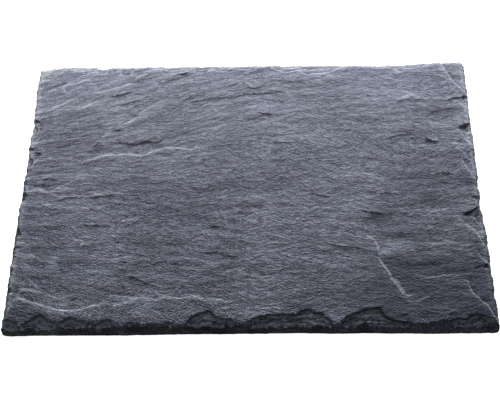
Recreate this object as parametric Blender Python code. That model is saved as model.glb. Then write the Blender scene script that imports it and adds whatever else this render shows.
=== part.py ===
"""A slate slab: one piece of riven slate with hand-broken edges, 300 x 200 x 7.5 mm.

The slab lies on z = 0 with the middle of its box over the origin. +X runs along its long side,
+Y to its back edge, +Z up. Shape values below are in millimetres; the mesh is made in metres.
"""

import bpy
import numpy as np

MM = 0.001

# Driving dimensions.
LENGTH = 300.0
WIDTH = 200.0
TOP = 7.1  # mean height of the top face; its ridges reach THICKNESS
THICKNESS = 7.7
RIM = 5.0  # height where the broken slope meets the wall, at the sides
FRONT_RIM = 1.3  # and at the front, which is dressed down to a steep face
BELLY_OUT = 0.3  # how far the wall stands out at half its height, for a wall as high as RIM
UNDERCUT = 0.9  # how far such a wall draws in at the base
CORNER = 1.8  # length over which two walls turn into each other
CORNER_CUT = 0.4  # how far a corner's tip is worn back
EDGE_FADE = 12.0  # how far in from an edge its wander still shifts the grid
TEETH = 0.5  # wander of the edges from tooth to tooth
FRONT_TEETH = 0.15  # and of the dressed front edge
LAMINA = 0.6  # thickness of the slate's layers, seen on broken edges
RISER = 0.7  # run of a flake's first steep step
FLAKE_FROM = 0.5  # a break that reaches less far past the edge's steep face is that face alone
FLAKE_FULL = 3.5  # and from this much on a flake has its full step
FRONT_STEP = 1.0
FRONT_SLOPE = 1.2
BACK_STEP = 0.3
BACK_SLOPE = 1.3
SIDE_STEP = 0.4
SIDE_SLOPE = 0.35
LEDGE_RUN = 0.4  # half the run of a ledge's face
LEDGE_REACH = 14.0  # how far from its face a ledge dies away
LEDGE_TAPER = 5.0  # length over which a ledge's ends die out
FLAKE_REACH = 6.0  # how far from its line an edge's flake dies away
FLAKE_TAPER = 2.0  # length over which its ends die out
FLAKE_SHARE = 0.8  # how much of an edge flake's height the slab has

GRID = 1.5  # spacing of the mesh before flat stretches are thinned out
TRIANGLES = 9400  # how many triangles are left after thinning
SETTLE = 0.06  # points nearer the ground than this are laid on it
WALL_ROWS = (0.82, 0.5, 0.24)  # heights of the wall's rings as shares of the rim's height

SLATE = (0.085, 0.092, 0.108, 1.0)
SLATE_ROUGHNESS = 0.5

# Where each edge stands, as (place along the edge, distance in from the plain rectangle).
FRONT_EDGE = ((-150, 0.3), (-143, 0), (-132, 0.4), (-77, 0.4), (-53, 0.8), (-29, 1.1), (2, 1.3),
              (32, 1.6), (50, 1.2), (74, 1.5), (110, 1), (140, 1.3), (150, 1.4))
BACK_EDGE = ((-150, 1.8), (-147, 1.5), (-135, 0.5), (-114, 0), (-104, 2), (-97, 0.5), (50, 0.5),
             (65, 1), (85, 1.5), (90, 2.2), (97, 1.4), (110, 1), (134, 0.2), (150, 0))
LEFT_EDGE = ((-100, 0.6), (-60, 0.4), (-15, 0.3), (0, 1.1), (5, 0.5), (12, 1.3), (30, 0.8),
             (40, 0.5), (46, 1.3), (53, 1.6), (65, 0.6), (80, 0), (97, 0.2), (100, 0.6))
RIGHT_EDGE = ((-100, 0.2), (-90, 0), (-60, 0.5), (-40, 0.3), (-20, 1.2), (-14, 2.2), (-6, 0.9),
              (-1, 1.9), (8, 0.7), (15, 1.2), (40, 0.4), (50, 1), (60, 0.9), (88, 0.2), (100, 0.6))

# Where the top face breaks off, as (place along the edge, depth of the broken slope).
FRONT_BREAK = ((-150, 9), (-146, 8.5), (-141, 6), (-139, 3.5), (-128, 10.6), (-126, 11.4),
               (-121, 7.2), (-119, 6.8), (-116, 5.5), (-115, 3.9), (-113, 6.6), (-109, 9.4), (-105, 9.1),
               (-100, 6), (-94, 6), (-91, 5.4), (-87, 7.9), (-85, 8.2), (-83, 7.1), (-81, 4.8),
               (-77, 3.7), (-72, 6.5), (-66, 5.4), (-61, 3.7), (-53, 4.8), (-50, 6.7), (-46, 5.9),
               (-43, 3.6), (-38, 5), (-34, 9.4), (-32, 11.3), (-29, 12.7), (-27, 12.7), (-25, 13.8),
               (-23, 12.7), (-18, 9.4), (-15, 7.9), (-12, 8.3), (-6, 5.8), (-4, 4.6), (-3, 6.3),
               (-1, 5.8), (1, 6.8), (5, 9.9), (11, 9.8), (13, 11.8), (22, 11.1), (28, 11.1), (31, 12.8),
               (35, 15), (39, 13.1), (44, 12.5), (48, 8.3), (50, 6.1), (51, 3.4), (54, 3.4), (57, 7.2),
               (59, 9.4), (65, 12.7), (69, 13.8), (76, 15.3), (79, 15.3), (81, 12), (83, 9.5),
               (86, 7.3), (91, 6), (95, 5.5), (99, 4), (102, 5.5), (106, 4.3), (113, 5.4),
               (117, 7.8), (122, 7), (125, 8.1), (132, 8), (134, 10.3), (137, 11.1), (140, 10.5),
               (145, 8.5), (150, 8))
BACK_BREAK = ((-150, 13), (-147, 13), (-141, 12), (-138, 9), (-133, 4), (-128, 3.5), (-120, 5),
              (-117, 7), (-112, 5.5), (-109, 4), (-107, 7), (-103, 7), (-101, 3.5), (-97, 3.5),
              (-96, 5.5), (-94, 3.5), (-91, 4), (-90, 9.5), (-86, 9), (-84, 4), (-70, 3.5),
              (-63, 4), (-61, 8), (-52, 7.5), (-44, 6), (-40, 3.5), (-38, 7), (-31, 7), (-29, 3.5),
              (-22, 6.5), (-17, 6), (-15, 3.5), (-9, 3.5), (-8, 4.5), (-1, 4.5), (0, 3.5),
              (13, 3.2), (20, 6), (24, 7.5), (31, 7), (33, 5), (36, 8), (39, 10), (44, 9),
              (50, 9), (56, 8), (60, 5), (64, 3.5), (80, 3.5), (88, 4.5), (92, 4.5), (97, 3.5),
              (102, 6), (105, 9), (107, 5), (112, 5), (126, 3.2), (150, 3.5))
LEFT_BREAK = ((-100, 3), (-80, 4), (-72, 3), (-40, 3.5), (-5, 3), (20, 5), (27, 3), (30, 4), (33, 3),
              (45, 5), (50, 3), (52, 5), (54, 3), (100, 4))
RIGHT_BREAK = ((-100, 4), (-60, 3), (-58, 5), (-56, 3), (-46, 4), (-30, 3), (-23, 7), (-16, 2.5),
               (-10, 4), (-7, 3), (20, 3), (40, 4), (44, 8), (48, 3), (60, 3), (68, 5), (72, 3),
               (100, 3))

# How wide the steep face below the breaks is, as (place along the edge, width).
FRONT_FACE = ((-150, 2.5), (-137, 2.5), (-129, 5.7), (-128, 3.1), (-117, 3), (-113, 4.6), (-106, 4.6),
              (-103, 3.5), (-97, 4.3), (-87, 4.6), (-76, 3.7), (-71, 4.5), (-57, 5.3), (-47, 4.8),
              (-36, 3.8), (-30, 3.8), (-23, 4.6), (-18, 3.8), (-13, 5.4), (-9, 4.3), (2, 5.4), (4, 3.2),
              (39, 3.4), (45, 4.7), (50, 3.3), (55, 4.1), (66, 3.3), (70, 6.4), (74, 4.1), (79, 3.5),
              (97, 3.2), (107, 4.6), (120, 6.7), (125, 3.9), (130, 3.1), (138, 3.9), (146, 6.6),
              (150, 5.5))
OTHER_FACE = ((-150, 2), (150, 2))

# Height where the broken slope meets the back wall, as (place along the edge, height).
BACK_RIM = ((-150, 5.5), (85, 5.3), (120, 6.3), (150, 6.8))

# Ledges of the top face: (height of the back side over the front side, then the line from -X to +X).
LEDGES = (
    (0.55, (-89, 34), (-84, 34), (-80, 33), (-76, 33), (-73, 35), (-68, 35.8), (-64, 34), (-58, 37)),
    (0.50, (-97, 72), (-93, 73.5), (-88, 74.5), (-84, 76), (-80, 78)),
    (0.32, (-66, 82.5), (-57, 86), (-50, 88), (-42, 91), (-38, 93)),
    (0.35, (-90, 64.5), (-83, 67.5), (-76, 70)),
    (0.45, (-94, 44.2), (-90, 44.6), (-84, 44.2)),
    (0.36, (-42, 66), (-37, 68), (-31, 69.5), (-22, 70.5), (-10, 71.5), (-3, 73.5), (9, 74), (24, 76)),
    (0.35, (-20, 79), (-12, 81.5), (-8, 83)),
    (0.35, (-7, 85), (-2, 81), (0, 78), (3, 78), (9, 80)),
    (0.30, (22, 83), (33, 84.5), (38, 84)),
    (0.30, (-6, 54), (2, 53), (9, 56)),
    (0.30, (14, 34), (24, 33.5), (30, 31)),
    (0.26, (114, 36), (120, 34.5), (122, 33), (128, 33)),
    (0.30, (92, 36), (99, 38.5), (110, 40)),
    (0.30, (-143, 2), (-136, 2), (-127, 2)),
    (0.30, (-103, -28), (-96, -28.5), (-87, -29)),
    (0.30, (-13, -20), (-4, -19.5), (4, -20)),
    (0.30, (-6, -11), (0, -13), (3, -14), (11, -15)),
    (0.30, (37, -5), (46, -7), (53, -9)),
    (0.30, (49, 20), (56, 17.5), (62, 14)),
    (0.30, (74, -4), (82, -6), (95, -6)),
    (0.35, (47, -41), (54, -43), (59, -44), (73, -45)),
    (0.35, (-75, -63), (-68, -66), (-62, -68.5), (-56, -71)),
    (0.30, (-33, -48), (-20, -47.5), (-15, -49.5), (-5, -52)),
    (0.30, (99, 65), (105, 67), (110, 66.5), (118, 67)),
    (0.22, (117, 52), (124, 57), (130, 59), (140, 60)),
    (0.36, (-126, -11), (-120, -8), (-113, -7), (-104, -7.5), (-96, -7), (-86, -5.5)),
    (0.40, (70, -18), (78, -20), (87, -21)),
    (-0.45, (-142, 60), (-135, 64), (-128, 68), (-124, 70)),
    (-0.40, (-122, 61.5), (-114, 65), (-107, 69), (-104, 71)),
    (-0.45, (-109, 75), (-100, 78.5), (-91, 81), (-86, 83.5), (-78, 83)),
    (-0.50, (-88, 48), (-80, 54), (-74, 60), (-69, 64.5), (-60, 69)),
    (-0.45, (-111, 27), (-106, 32), (-100, 39), (-94, 47)),
    (-0.40, (-141, 20), (-134, 23), (-130, 22.5), (-122, 23), (-114, 22)),
    (-0.60, (-109, 21), (-100, 24), (-93, 26), (-90, 24.5), (-80, 26), (-75, 25), (-70, 25),
     (-62, 29), (-57, 30.5), (-44, 30), (-40, 28.5), (-38, 29.5), (-34, 34)),
    (-0.35, (-63, 25), (-55, 22), (-48, 18)),
    (-0.30, (-65, 14), (-55, 15), (-50, 17)),
    (-0.45, (-140, 1), (-134, -3), (-130, -3), (-124, 2), (-119, 3), (-116, 6), (-112, 11)),
    (-0.50, (-132, -3), (-125, -6.5), (-112, -6.5), (-105, -7), (-100, -5), (-90, -3)),
    (-0.30, (-85, -26), (-76, -23), (-70, -26)),
    (-0.40, (76, 71), (83, 69.5), (91, 68)),
    (-0.45, (100, 67), (108, 71), (111, 72), (118, 69)),
    (-0.30, (116, 19), (125, 19.5), (128, 20)),
    (-0.30, (128, 12), (137, 10.5), (140, 10)),
    (-0.30, (111, -21), (119, -18.5), (127, -18)),
    (-0.45, (101, -63), (110, -65), (116, -65), (120, -63.5), (131, -64)),
    (-0.40, (108, -40), (115, -42), (125, -41), (133, -43), (141, -43)),
    (-0.50, (-143, -71), (-134, -72.5), (-127, -74), (-118, -78), (-109, -77)),
    (-0.65, (-144, -76.5), (-134, -80), (-128, -82), (-115, -86), (-105, -86), (-95, -83), (-88, -81)),
    (-0.50, (-86, -76), (-78, -77), (-62, -78), (-57, -79), (-50, -77.5), (-42, -78.5), (-31, -77),
     (-27, -79), (-22, -78.5), (-16, -79.5), (-8, -81)),
    (-0.40, (-89, -53), (-78, -50.5), (-69, -50)),
    (-0.40, (-17, -63), (-11, -59.5), (-8, -58.5), (0, -58)),
    (-0.40, (-7, -59), (-3, -62.5), (8, -64), (17, -63)),
    (-0.30, (3, -81), (8, -84.5), (15, -84.5), (23, -85)),
    (-0.35, (-148, 69), (-144, 73), (-138, 80), (-130, 83), (-121, 85), (-114, 89)),
    (-0.30, (72, -35), (78, -38.5), (81, -44), (80.5, -50)),
    (-0.30, (80, -51), (82.5, -56), (86.5, -62.5), (90, -69), (94, -76.5)),
)

# Flakes at the left and right edges, written as the ledges are.
EDGE_FLAKES = (
    (-0.60, (133, 101), (136, 92), (139, 86), (141, 82), (144, 78), (147, 74), (152, 68)),
    (0.50, (134, 66), (138, 68), (143, 68.5), (152, 71)),
    (-0.50, (141, 68), (144, 64), (152, 54)),
    (-0.40, (143.5, 57), (146, 53), (152, 45)),
    (0.80, (139.5, 44.5), (143, 46), (152, 49)),
    (-0.50, (139.5, 44), (142, 39), (146, 33), (152, 24)),
    (-0.40, (136.5, 34), (140, 27), (143, 22), (146, 18)),
    (-0.50, (139.5, 20), (142, 14), (145, 8), (152, -6)),
    (0.40, (142, -8), (145, -9), (152, -12)),
    (0.90, (136, -21.5), (141, -19.5), (145, -17), (152, -14.5)),
    (-0.70, (132.5, -23), (137, -28), (140, -31), (143, -34), (144.5, -38), (146, -42), (152, -50)),
    (-0.35, (142.5, -34), (146, -33.5), (152, -32)),
    (-0.50, (141.5, -44), (142, -49), (144, -52), (152, -60)),
    (0.40, (138, -59), (144, -57.5), (152, -56)),
    (-0.80, (133.5, -66), (135, -73), (137, -77), (140, -80), (144, -83.5), (146, -88), (152, -99)),
    (0.80, (-153, 54.5), (-147, 53), (-143, 51.5)),
    (-0.50, (-147, 31), (-143.5, 38), (-141.5, 45), (-141, 48)),
    (0.50, (-153, 31.5), (-147, 30.5), (-144, 29.5)),
    (0.45, (-145, 27.5), (-142, 26.8), (-139, 26)),
    (-0.40, (-148, 14), (-143, 21), (-140, 25), (-139, 28)),
    (-0.40, (-149, -13), (-145, -5), (-142, -1), (-137, 2)),
    (-0.45, (-148, -90), (-144.5, -80), (-142, -76), (-140, -70)),
)

# Low swells and hollows of the top face: (x, y, half length, half width, height).
SWELLS = (
    (108, 69, 11, 5, 0.35),
    (-20, 30, 60, 25, 0.2),
    (-118, 40, 25, 18, 0.2),
    (20, -60, 50, 22, 0.15),
    (131, 53, 13, 6, -0.4),
    (81, -25, 9, 6, -0.4),
    (-60, -20, 45, 16, -0.2),
    (95, -50, 30, 16, -0.2),
    (60, 45, 40, 16, -0.15),
)

# Flakes gone from the underside: (x, y, half length, half width, depth).
BASE_FLAKES = (
    (-104, 58, 34, 19, 0.6),
    (-70, -62, 42, 17, 0.5),
    (98, -48, 30, 24, 0.6),
    (62, 66, 46, 13, 0.5),
    (128, 22, 15, 20, 0.4),
    (-132, -8, 12, 30, 0.5),
)


def clear_scene():
    for old in list(bpy.data.objects):
        bpy.data.objects.remove(old, do_unlink=True)


def smooth(value, low, high):
    """0 below low, 1 above high, and an S-curve between them."""
    share = np.clip((value - low) / (high - low), 0.0, 1.0)
    return share * share * (3.0 - 2.0 * share)


def lattice_angle(column, row, seed):
    """The same random-looking angle each time for a whole-numbered lattice point."""
    mixed = column * 73856093 ^ row * 19349663 ^ seed * 83492791
    mixed = (mixed ^ mixed >> 13) * 1274126177 & 0x7FFFFFFF
    return (mixed ^ mixed >> 15) % 6283 / 1000.0


def noise(x, y, seed):
    """Smooth noise from about -1 to 1, with swells about one unit across."""
    column = np.floor(x).astype(np.int64)
    row = np.floor(y).astype(np.int64)
    across = x - column
    along = y - row

    def corner(right, up):
        angle = lattice_angle(column + right, row + up, seed)
        return np.cos(angle) * (across - right) + np.sin(angle) * (along - up)

    blend_x = across ** 3 * (across * (across * 6 - 15) + 10)
    blend_y = along ** 3 * (along * (along * 6 - 15) + 10)
    low = corner(0, 0) + (corner(1, 0) - corner(0, 0)) * blend_x
    high = corner(0, 1) + (corner(1, 1) - corner(0, 1)) * blend_x
    return 1.4 * (low + (high - low) * blend_y)


def read_line(points, place):
    """The height of a broken line of (place, value) points at each place."""
    places, values = zip(*points)
    return np.interp(place, places, values)


def terrace(height, step, riser):
    """Turns a slope into level treads one step apart, joined by risers of the given share."""
    tread = np.floor(height / step)
    return step * (tread + smooth(height / step - tread, 0.5 - riser / 2, 0.5 + riser / 2))


def edge_wander(points, place, teeth, seed):
    level = 0 * place + 0.4
    wander = 0.7 * noise(place / 4.7, level, seed) + 0.9 * noise(place / 2.2, level, seed + 5)
    return read_line(points, place) + teeth * wander


def shaped(x, y):
    """Moves points of the plain rectangle to where the worn outline puts them."""
    half_length = LENGTH / 2
    half_width = WIDTH / 2
    left = edge_wander(LEFT_EDGE, y, TEETH, 11) * smooth(-x, half_length - EDGE_FADE, half_length)
    right = edge_wander(RIGHT_EDGE, y, TEETH, 12) * smooth(x, half_length - EDGE_FADE, half_length)
    front = edge_wander(FRONT_EDGE, x, FRONT_TEETH, 13) * smooth(-y, half_width - EDGE_FADE, half_width)
    back = edge_wander(BACK_EDGE, x, TEETH, 14) * smooth(y, half_width - EDGE_FADE, half_width)
    out_x, out_y = outward(x, y)
    tip = CORNER_CUT * np.abs(out_x * out_y)
    return x + left - right - tip * out_x, y + front - back - tip * out_y


def outward(x, y):
    """The way out of the slab at its edges, turning within CORNER of each corner."""
    out_x = np.clip((np.abs(x) - LENGTH / 2 + CORNER) / CORNER, 0, 1) * np.sign(x)
    out_y = np.clip((np.abs(y) - WIDTH / 2 + CORNER) / CORNER, 0, 1) * np.sign(y)
    return out_x, out_y


def ledge_height(x, y, line, reach, taper):
    """The form of a ledge one unit high along a line: higher on its left, dying away with distance."""
    nearest = np.full(x.shape, np.inf)
    side = np.zeros(x.shape)
    walked = np.zeros(x.shape)
    length = 0.0
    for (x0, y0), (x1, y1) in zip(line[:-1], line[1:]):
        run = np.hypot(x1 - x0, y1 - y0)
        along_x = (x1 - x0) / run
        along_y = (y1 - y0) / run
        along = np.clip((x - x0) * along_x + (y - y0) * along_y, 0, run)
        gap = np.hypot(x - x0 - along * along_x, y - y0 - along * along_y)
        closer = gap < nearest
        nearest = np.where(closer, gap, nearest)
        side = np.where(closer, np.sign(along_x * (y - y0) - along_y * (x - x0)), side)
        walked = np.where(closer, length + along, walked)
        length += run
    ends = smooth(walked, 0, taper) * smooth(length - walked, 0, taper)
    face = np.clip(nearest / LEDGE_RUN, 0, 1)
    fading = np.exp(-((nearest / reach) ** 2))
    return 0.5 * side * face * fading * ends


def bend_past(value, width):
    """0 well below 0, the value itself well above it, and a bend of about a width between them."""
    return (value + np.hypot(value, width)) / 2


def grain_across(x, y):
    """How far across the grain a point lies: at the left, the grain rises rightwards at the back and
    falls at the front."""
    rising = 0.42 * smooth(y, -20, 60) * (bend_past(-x - 10, 55) - 40)
    falling = 0.3 * smooth(-y, 25, 70) * bend_past(-x - 110, 20)
    return y + rising - falling


def riven(x, y):
    """The cleaved grain: long low treads."""
    across = grain_across(x, y)
    height = 0.55 * noise(x / 42, across / 10, 21) + 0.3 * noise(x / 19, across / 5, 22)
    return terrace(height, 0.24, 0.35)


def ragged_places(x, y):
    """The places with a small wander, for lines that aren't drawn with a ruler."""
    return x + 0.4 * noise(x / 4, y / 3, 31), y + 0.35 * noise(x / 3, y / 3, 32)


def top_face(x, y):
    height = TOP + riven(x, y) * 0.6
    for centre_x, centre_y, half_x, half_y, rise in SWELLS:
        height += rise * np.exp(-((x - centre_x) / half_x) ** 2 - ((y - centre_y) / half_y) ** 2)
    ragged_x, ragged_y = ragged_places(x, y)
    for step, *line in LEDGES:
        height += step * ledge_height(ragged_x, ragged_y, line, LEDGE_REACH, LEDGE_TAPER)
    for step, *line in EDGE_FLAKES:
        height += FLAKE_SHARE * step * ledge_height(ragged_x, ragged_y, line, FLAKE_REACH, FLAKE_TAPER)
    return np.minimum(height, THICKNESS)


def face_width(face, place, seed):
    """How far in from an edge its steep face reaches."""
    return read_line(face, place) * (1 + 0.2 * noise(place / 2.7, 0 * place + 0.5, seed + 2))


def broken_slope(inset, place, breaks, face, rim, step, slope, seed):
    """How far one edge's breaks lie under the top face: a step, a slope out to the edge's steep face,
    and that face."""
    ragged = place + 0.5 * noise(inset / 2.1, place / 2.3, seed + 60)
    depth = read_line(breaks, ragged) * (1 + 0.06 * noise(place / 3.1, 0 * place + 0.5, seed))
    width = face_width(face, place, seed)
    flaked = smooth(depth - width, FLAKE_FROM, FLAKE_FULL)
    inside = depth - inset
    toward_edge = np.clip(inside / np.maximum(depth, 0.5), 0, 1)
    flake = flaked * (step * smooth(inside, 0, RISER) + slope * toward_edge)
    layer = flake / LAMINA + 0.4 * noise(place / 4, inset / 1.8, seed + 62)
    layered = 0.35 * flake + 0.65 * LAMINA * terrace(layer, 1.0, 0.25)
    flake = np.where(inside > 0, np.maximum(layered, 0), 0.0)
    rest = TOP - rim - flaked * (step + slope) + 0.35 * noise(place / 7, 0 * place + 0.5, seed + 1)
    steep = np.maximum(rest, 0.4) * np.clip(1 - inset / width, 0, 1) ** 1.1
    return flake + steep


def edge_fall(x, y):
    """How far the broken edges lie under the top face, at a point of the plain rectangle."""
    half_length = LENGTH / 2
    half_width = WIDTH / 2
    back_rim = read_line(BACK_RIM, x)
    falls = (
        broken_slope(y + half_width, x, FRONT_BREAK, FRONT_FACE, FRONT_RIM, FRONT_STEP, FRONT_SLOPE, 41),
        broken_slope(half_width - y, x, BACK_BREAK, OTHER_FACE, back_rim, BACK_STEP, BACK_SLOPE, 43),
        broken_slope(x + half_length, y, LEFT_BREAK, OTHER_FACE, RIM, SIDE_STEP, SIDE_SLOPE, 45),
        broken_slope(half_length - x, y, RIGHT_BREAK, OTHER_FACE, RIM, SIDE_STEP, SIDE_SLOPE, 47),
    )
    return np.maximum.reduce(falls)


def base_face(x, y):
    """The underside: level at z = 0, with shallow flakes gone in two layers."""
    hollow = np.zeros(x.shape)
    for centre_x, centre_y, half_x, half_y, depth in BASE_FLAKES:
        away = np.hypot((x - centre_x) / half_x, (y - centre_y) / half_y)
        away = away + 0.2 * noise(x / 14, y / 9, 51) + 0.12 * noise(x / 5, y / 3.5, 52)
        layers = smooth(1 - away, 0, 0.06) + smooth(1 - away, 0.3, 0.36)
        hollow = np.maximum(hollow, depth * layers / 2)
    return hollow


def ring_of(columns, rows):
    """The grid's border points in order, counter-clockwise seen from above, as (column, row)."""
    front = [(i, 0) for i in range(columns)]
    right = [(columns - 1, j) for j in range(1, rows)]
    back = [(i, rows - 1) for i in range(columns - 2, -1, -1)]
    left = [(0, j) for j in range(rows - 2, 0, -1)]
    return np.array(front + right + back + left)


def grid_faces(columns, rows, first, upward):
    faces = []
    for j in range(rows - 1):
        for i in range(columns - 1):
            a = first + j * columns + i
            face = (a, a + 1, a + columns + 1, a + columns)
            faces.append(face if upward else face[::-1])
    return faces


def band_faces(upper, lower):
    """Faces of a closed band between two rings of point numbers."""
    pairs = zip(upper, np.roll(upper, -1), np.roll(lower, -1), lower)
    return [(int(a), int(d), int(c), int(b)) for a, b, c, d in pairs]


def slab_points_and_faces():
    columns = int(LENGTH / GRID) + 1
    rows = int(WIDTH / GRID) + 1
    plain_x, plain_y = np.meshgrid(
        np.linspace(-LENGTH / 2, LENGTH / 2, columns), np.linspace(-WIDTH / 2, WIDTH / 2, rows))
    x, y = shaped(plain_x, plain_y)
    top = np.stack([x, y, top_face(x, y) - edge_fall(plain_x, plain_y)], axis=-1)

    ring = ring_of(columns, rows)
    plain_ring_x = plain_x[ring[:, 1], ring[:, 0]]
    plain_ring_y = plain_y[ring[:, 1], ring[:, 0]]
    out = np.stack(outward(plain_ring_x, plain_ring_y), axis=-1)
    rim = top[ring[:, 1], ring[:, 0]]
    wall = []
    for share in WALL_ROWS:
        bulge = BELLY_OUT * (1 - abs(2 * share - 1)) - UNDERCUT * max(1 - 2 * share, 0) ** 1.5
        stand_out = bulge * rim[:, 2] / RIM
        wall.append(np.column_stack([rim[:, :2] + out * stand_out[:, None], rim[:, 2] * share]))

    # The underside's grid is the same one, drawn in at its border by the undercut.
    out_x, out_y = outward(plain_x, plain_y)
    undercut = UNDERCUT / RIM * top[:, :, 2]
    base_x = x - out_x * undercut
    base_y = y - out_y * undercut
    base = np.stack([base_x, base_y, base_face(base_x, base_y)], axis=-1)

    grid_count = columns * rows
    numbers = ring[:, 1] * columns + ring[:, 0]
    rings = [numbers]
    for k in range(len(wall)):
        rings.append(grid_count + k * len(ring) + np.arange(len(ring)))
    base_first = grid_count + len(wall) * len(ring)
    rings.append(base_first + numbers)

    faces = grid_faces(columns, rows, 0, upward=True)
    for upper, lower in zip(rings[:-1], rings[1:]):
        faces += band_faces(upper, lower)
    faces += grid_faces(columns, rows, base_first, upward=False)
    points = np.concatenate([top.reshape(-1, 3)] + wall + [base.reshape(-1, 3)])
    return points * MM, faces


def slate_material():
    material = bpy.data.materials.new("slate")
    material.use_nodes = True
    shader = material.node_tree.nodes["Principled BSDF"]
    shader.inputs["Base Color"].default_value = SLATE
    shader.inputs["Roughness"].default_value = SLATE_ROUGHNESS
    shader.inputs["Metallic"].default_value = 0.0
    material.diffuse_color = SLATE
    return material


def thinned(slab):
    """The slab's mesh with its flat stretches drawn in fewer triangles."""
    thinning = slab.modifiers.new("fewer_faces", "DECIMATE")
    thinning.decimate_type = "COLLAPSE"
    thinning.ratio = TRIANGLES / (2 * len(slab.data.polygons))
    evaluated = slab.evaluated_get(bpy.context.evaluated_depsgraph_get())
    mesh = bpy.data.meshes.new_from_object(evaluated)
    slab.modifiers.clear()
    return mesh


def settle(mesh):
    """Lays the points next to the ground on it, and centres the slab over the origin."""
    points = np.array([point.co for point in mesh.vertices])
    points[:, 2] = np.where(points[:, 2] < SETTLE * MM, 0.0, points[:, 2])
    middle = (points.min(axis=0) + points.max(axis=0)) / 2
    points[:, :2] -= middle[:2]
    mesh.vertices.foreach_set("co", points.ravel())
    mesh.update()


def make_slab():
    points, faces = slab_points_and_faces()
    mesh = bpy.data.meshes.new("slab")
    mesh.from_pydata(points.tolist(), [], faces)
    mesh.materials.append(slate_material())
    slab = bpy.data.objects.new("slab", mesh)
    bpy.context.scene.collection.objects.link(slab)
    slab.data = thinned(slab)
    settle(slab.data)
    return slab


clear_scene()
make_slab()
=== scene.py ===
"""The looks of a riven slate slab: its fine relief, its slate, and a plain pale studio.

The slab's surface repeats the broad shapes of its solid (edges, broken slopes, ledges, swells) on a
much finer mesh, and adds the thin treads and scratches of cleaved slate. Shape values are in
millimetres; meshes are made in metres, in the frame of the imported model.
"""

from functools import reduce
from types import SimpleNamespace

import bpy
import numpy as np
from mathutils import Matrix, Vector


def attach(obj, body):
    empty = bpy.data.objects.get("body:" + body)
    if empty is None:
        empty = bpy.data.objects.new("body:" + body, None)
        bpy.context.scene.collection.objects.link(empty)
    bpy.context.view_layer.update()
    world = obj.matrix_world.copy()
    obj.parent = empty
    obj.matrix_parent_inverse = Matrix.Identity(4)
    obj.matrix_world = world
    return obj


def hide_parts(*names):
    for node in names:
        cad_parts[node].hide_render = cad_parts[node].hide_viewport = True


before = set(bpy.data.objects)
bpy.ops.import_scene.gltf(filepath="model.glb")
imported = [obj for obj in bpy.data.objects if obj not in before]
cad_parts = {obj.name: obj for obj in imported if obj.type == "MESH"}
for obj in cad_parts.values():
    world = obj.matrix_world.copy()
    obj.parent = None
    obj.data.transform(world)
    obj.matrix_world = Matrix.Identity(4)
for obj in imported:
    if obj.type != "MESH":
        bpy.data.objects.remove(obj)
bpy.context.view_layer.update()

MM = 0.001

# The broad shape, as in the solid.
LENGTH = 300.0
WIDTH = 200.0
HALF_LENGTH = LENGTH / 2
HALF_WIDTH = WIDTH / 2
TOP = 7.1  # mean height of the top face; its ridges reach THICKNESS
THICKNESS = 7.7
RIM = 5.0  # height where the broken slope meets the wall, at the sides
FRONT_RIM = 1.3  # and at the front, which is dressed down to a steep face
BELLY_OUT = 0.3  # how far the wall stands out at half its height, for a wall as high as RIM
UNDERCUT = 0.9  # how far such a wall draws in at the base
CORNER = 1.8  # length over which two walls turn into each other
CORNER_CUT = 0.4  # how far a corner's tip is worn back
EDGE_FADE = 12.0  # how far in from an edge its wander still shifts the grid
TEETH = 0.5  # wander of the edges from tooth to tooth
FRONT_TEETH = 0.15  # and of the dressed front edge
NICKS = 0.4  # the smallest nicks along an edge, as a share of its teeth
LAMINA = 0.6  # thickness of the slate's layers, seen on broken edges
RISER = 0.7  # run of a flake's first steep step
FLAKE_FROM = 0.5  # a break that reaches less far past the edge's steep face is that face alone
FLAKE_FULL = 3.5  # and from this much on a flake has its full step
FRONT_STEP = 1.0
FRONT_SLOPE = 1.2
FRONT_SEED = 41  # the front edge's noise, which its chips share
BACK_STEP = 0.3
BACK_SLOPE = 1.3
SIDE_STEP = 0.4
SIDE_SLOPE = 0.35
LEDGE_RUN = 0.3  # half the run of a ledge's face
LEDGE_REACH = 14.0  # how far from its face a ledge dies away
LEDGE_TAPER = 5.0  # length over which a ledge's ends die out
LEDGE_SHARE = 0.7  # the finely lit surface needs no more than this of a ledge's height
FLAKE_REACH = 6.0  # how far from its line an edge's flake or a thin lip dies away
FLAKE_TAPER = 2.0  # length over which their ends die out
FLAKE_SHARE = 0.8  # how much of an edge flake's height the surface has
# The pale breaks are partly painted sheen of the light from behind.
SIDE_PALENESS = 2.2  # how much further the pale break of a side reaches at the back

# The mesh: fine along the edges, and finer across the grain than along it.
FRONT_BAND = 16.0  # width of the finer band along the front edge
FRONT_GRID = 0.45  # grid spacing in that band
EDGE_BAND = 10.0  # width of the finer band along the other edges
EDGE_GRID = 0.57  # grid spacing in those bands
GRID_ALONG = 1.2  # grid spacing inside them, along X
GRID_ACROSS = 0.76  # grid spacing inside them, along Y
WALL_ROWS = 9  # rings of points down the wall
BASE_EVERY = 4  # the underside uses one grid line in this many

# The slab's materials, in their order on the mesh.
RIVEN = 0
BROKEN = 1
SCOOPED = 2

# What the materials read from the mesh.
LINE_REACH = 2.5  # how far from a ledge's line or a vein its colour is looked up
FAR = 9.0  # a gap to a line or a break that is out of reach
WALL_GRAIN_FROM = 400  # the wall's and the underside's grain are other parts of the same noise
BASE_GRAIN_FROM = 900

# The bake map: the left, bottom, width and height of the top face's and the underside's areas. The
# wall's four strips lie one above the other, from their own left and bottom, at their own spacing.
TOP_AREA = (0.015, 0.335, 0.97, 0.65)
BASE_AREA = (0.015, 0.01, 0.46, 0.31)
WALL_STRIPS = (0.50, 0.025, 0.485, 0.075)
STRIP_SCALE = 0.006  # a strip's height in the map per millimetre of the wall's height
TALLEST = 9  # a wall is nowhere higher than this
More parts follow.
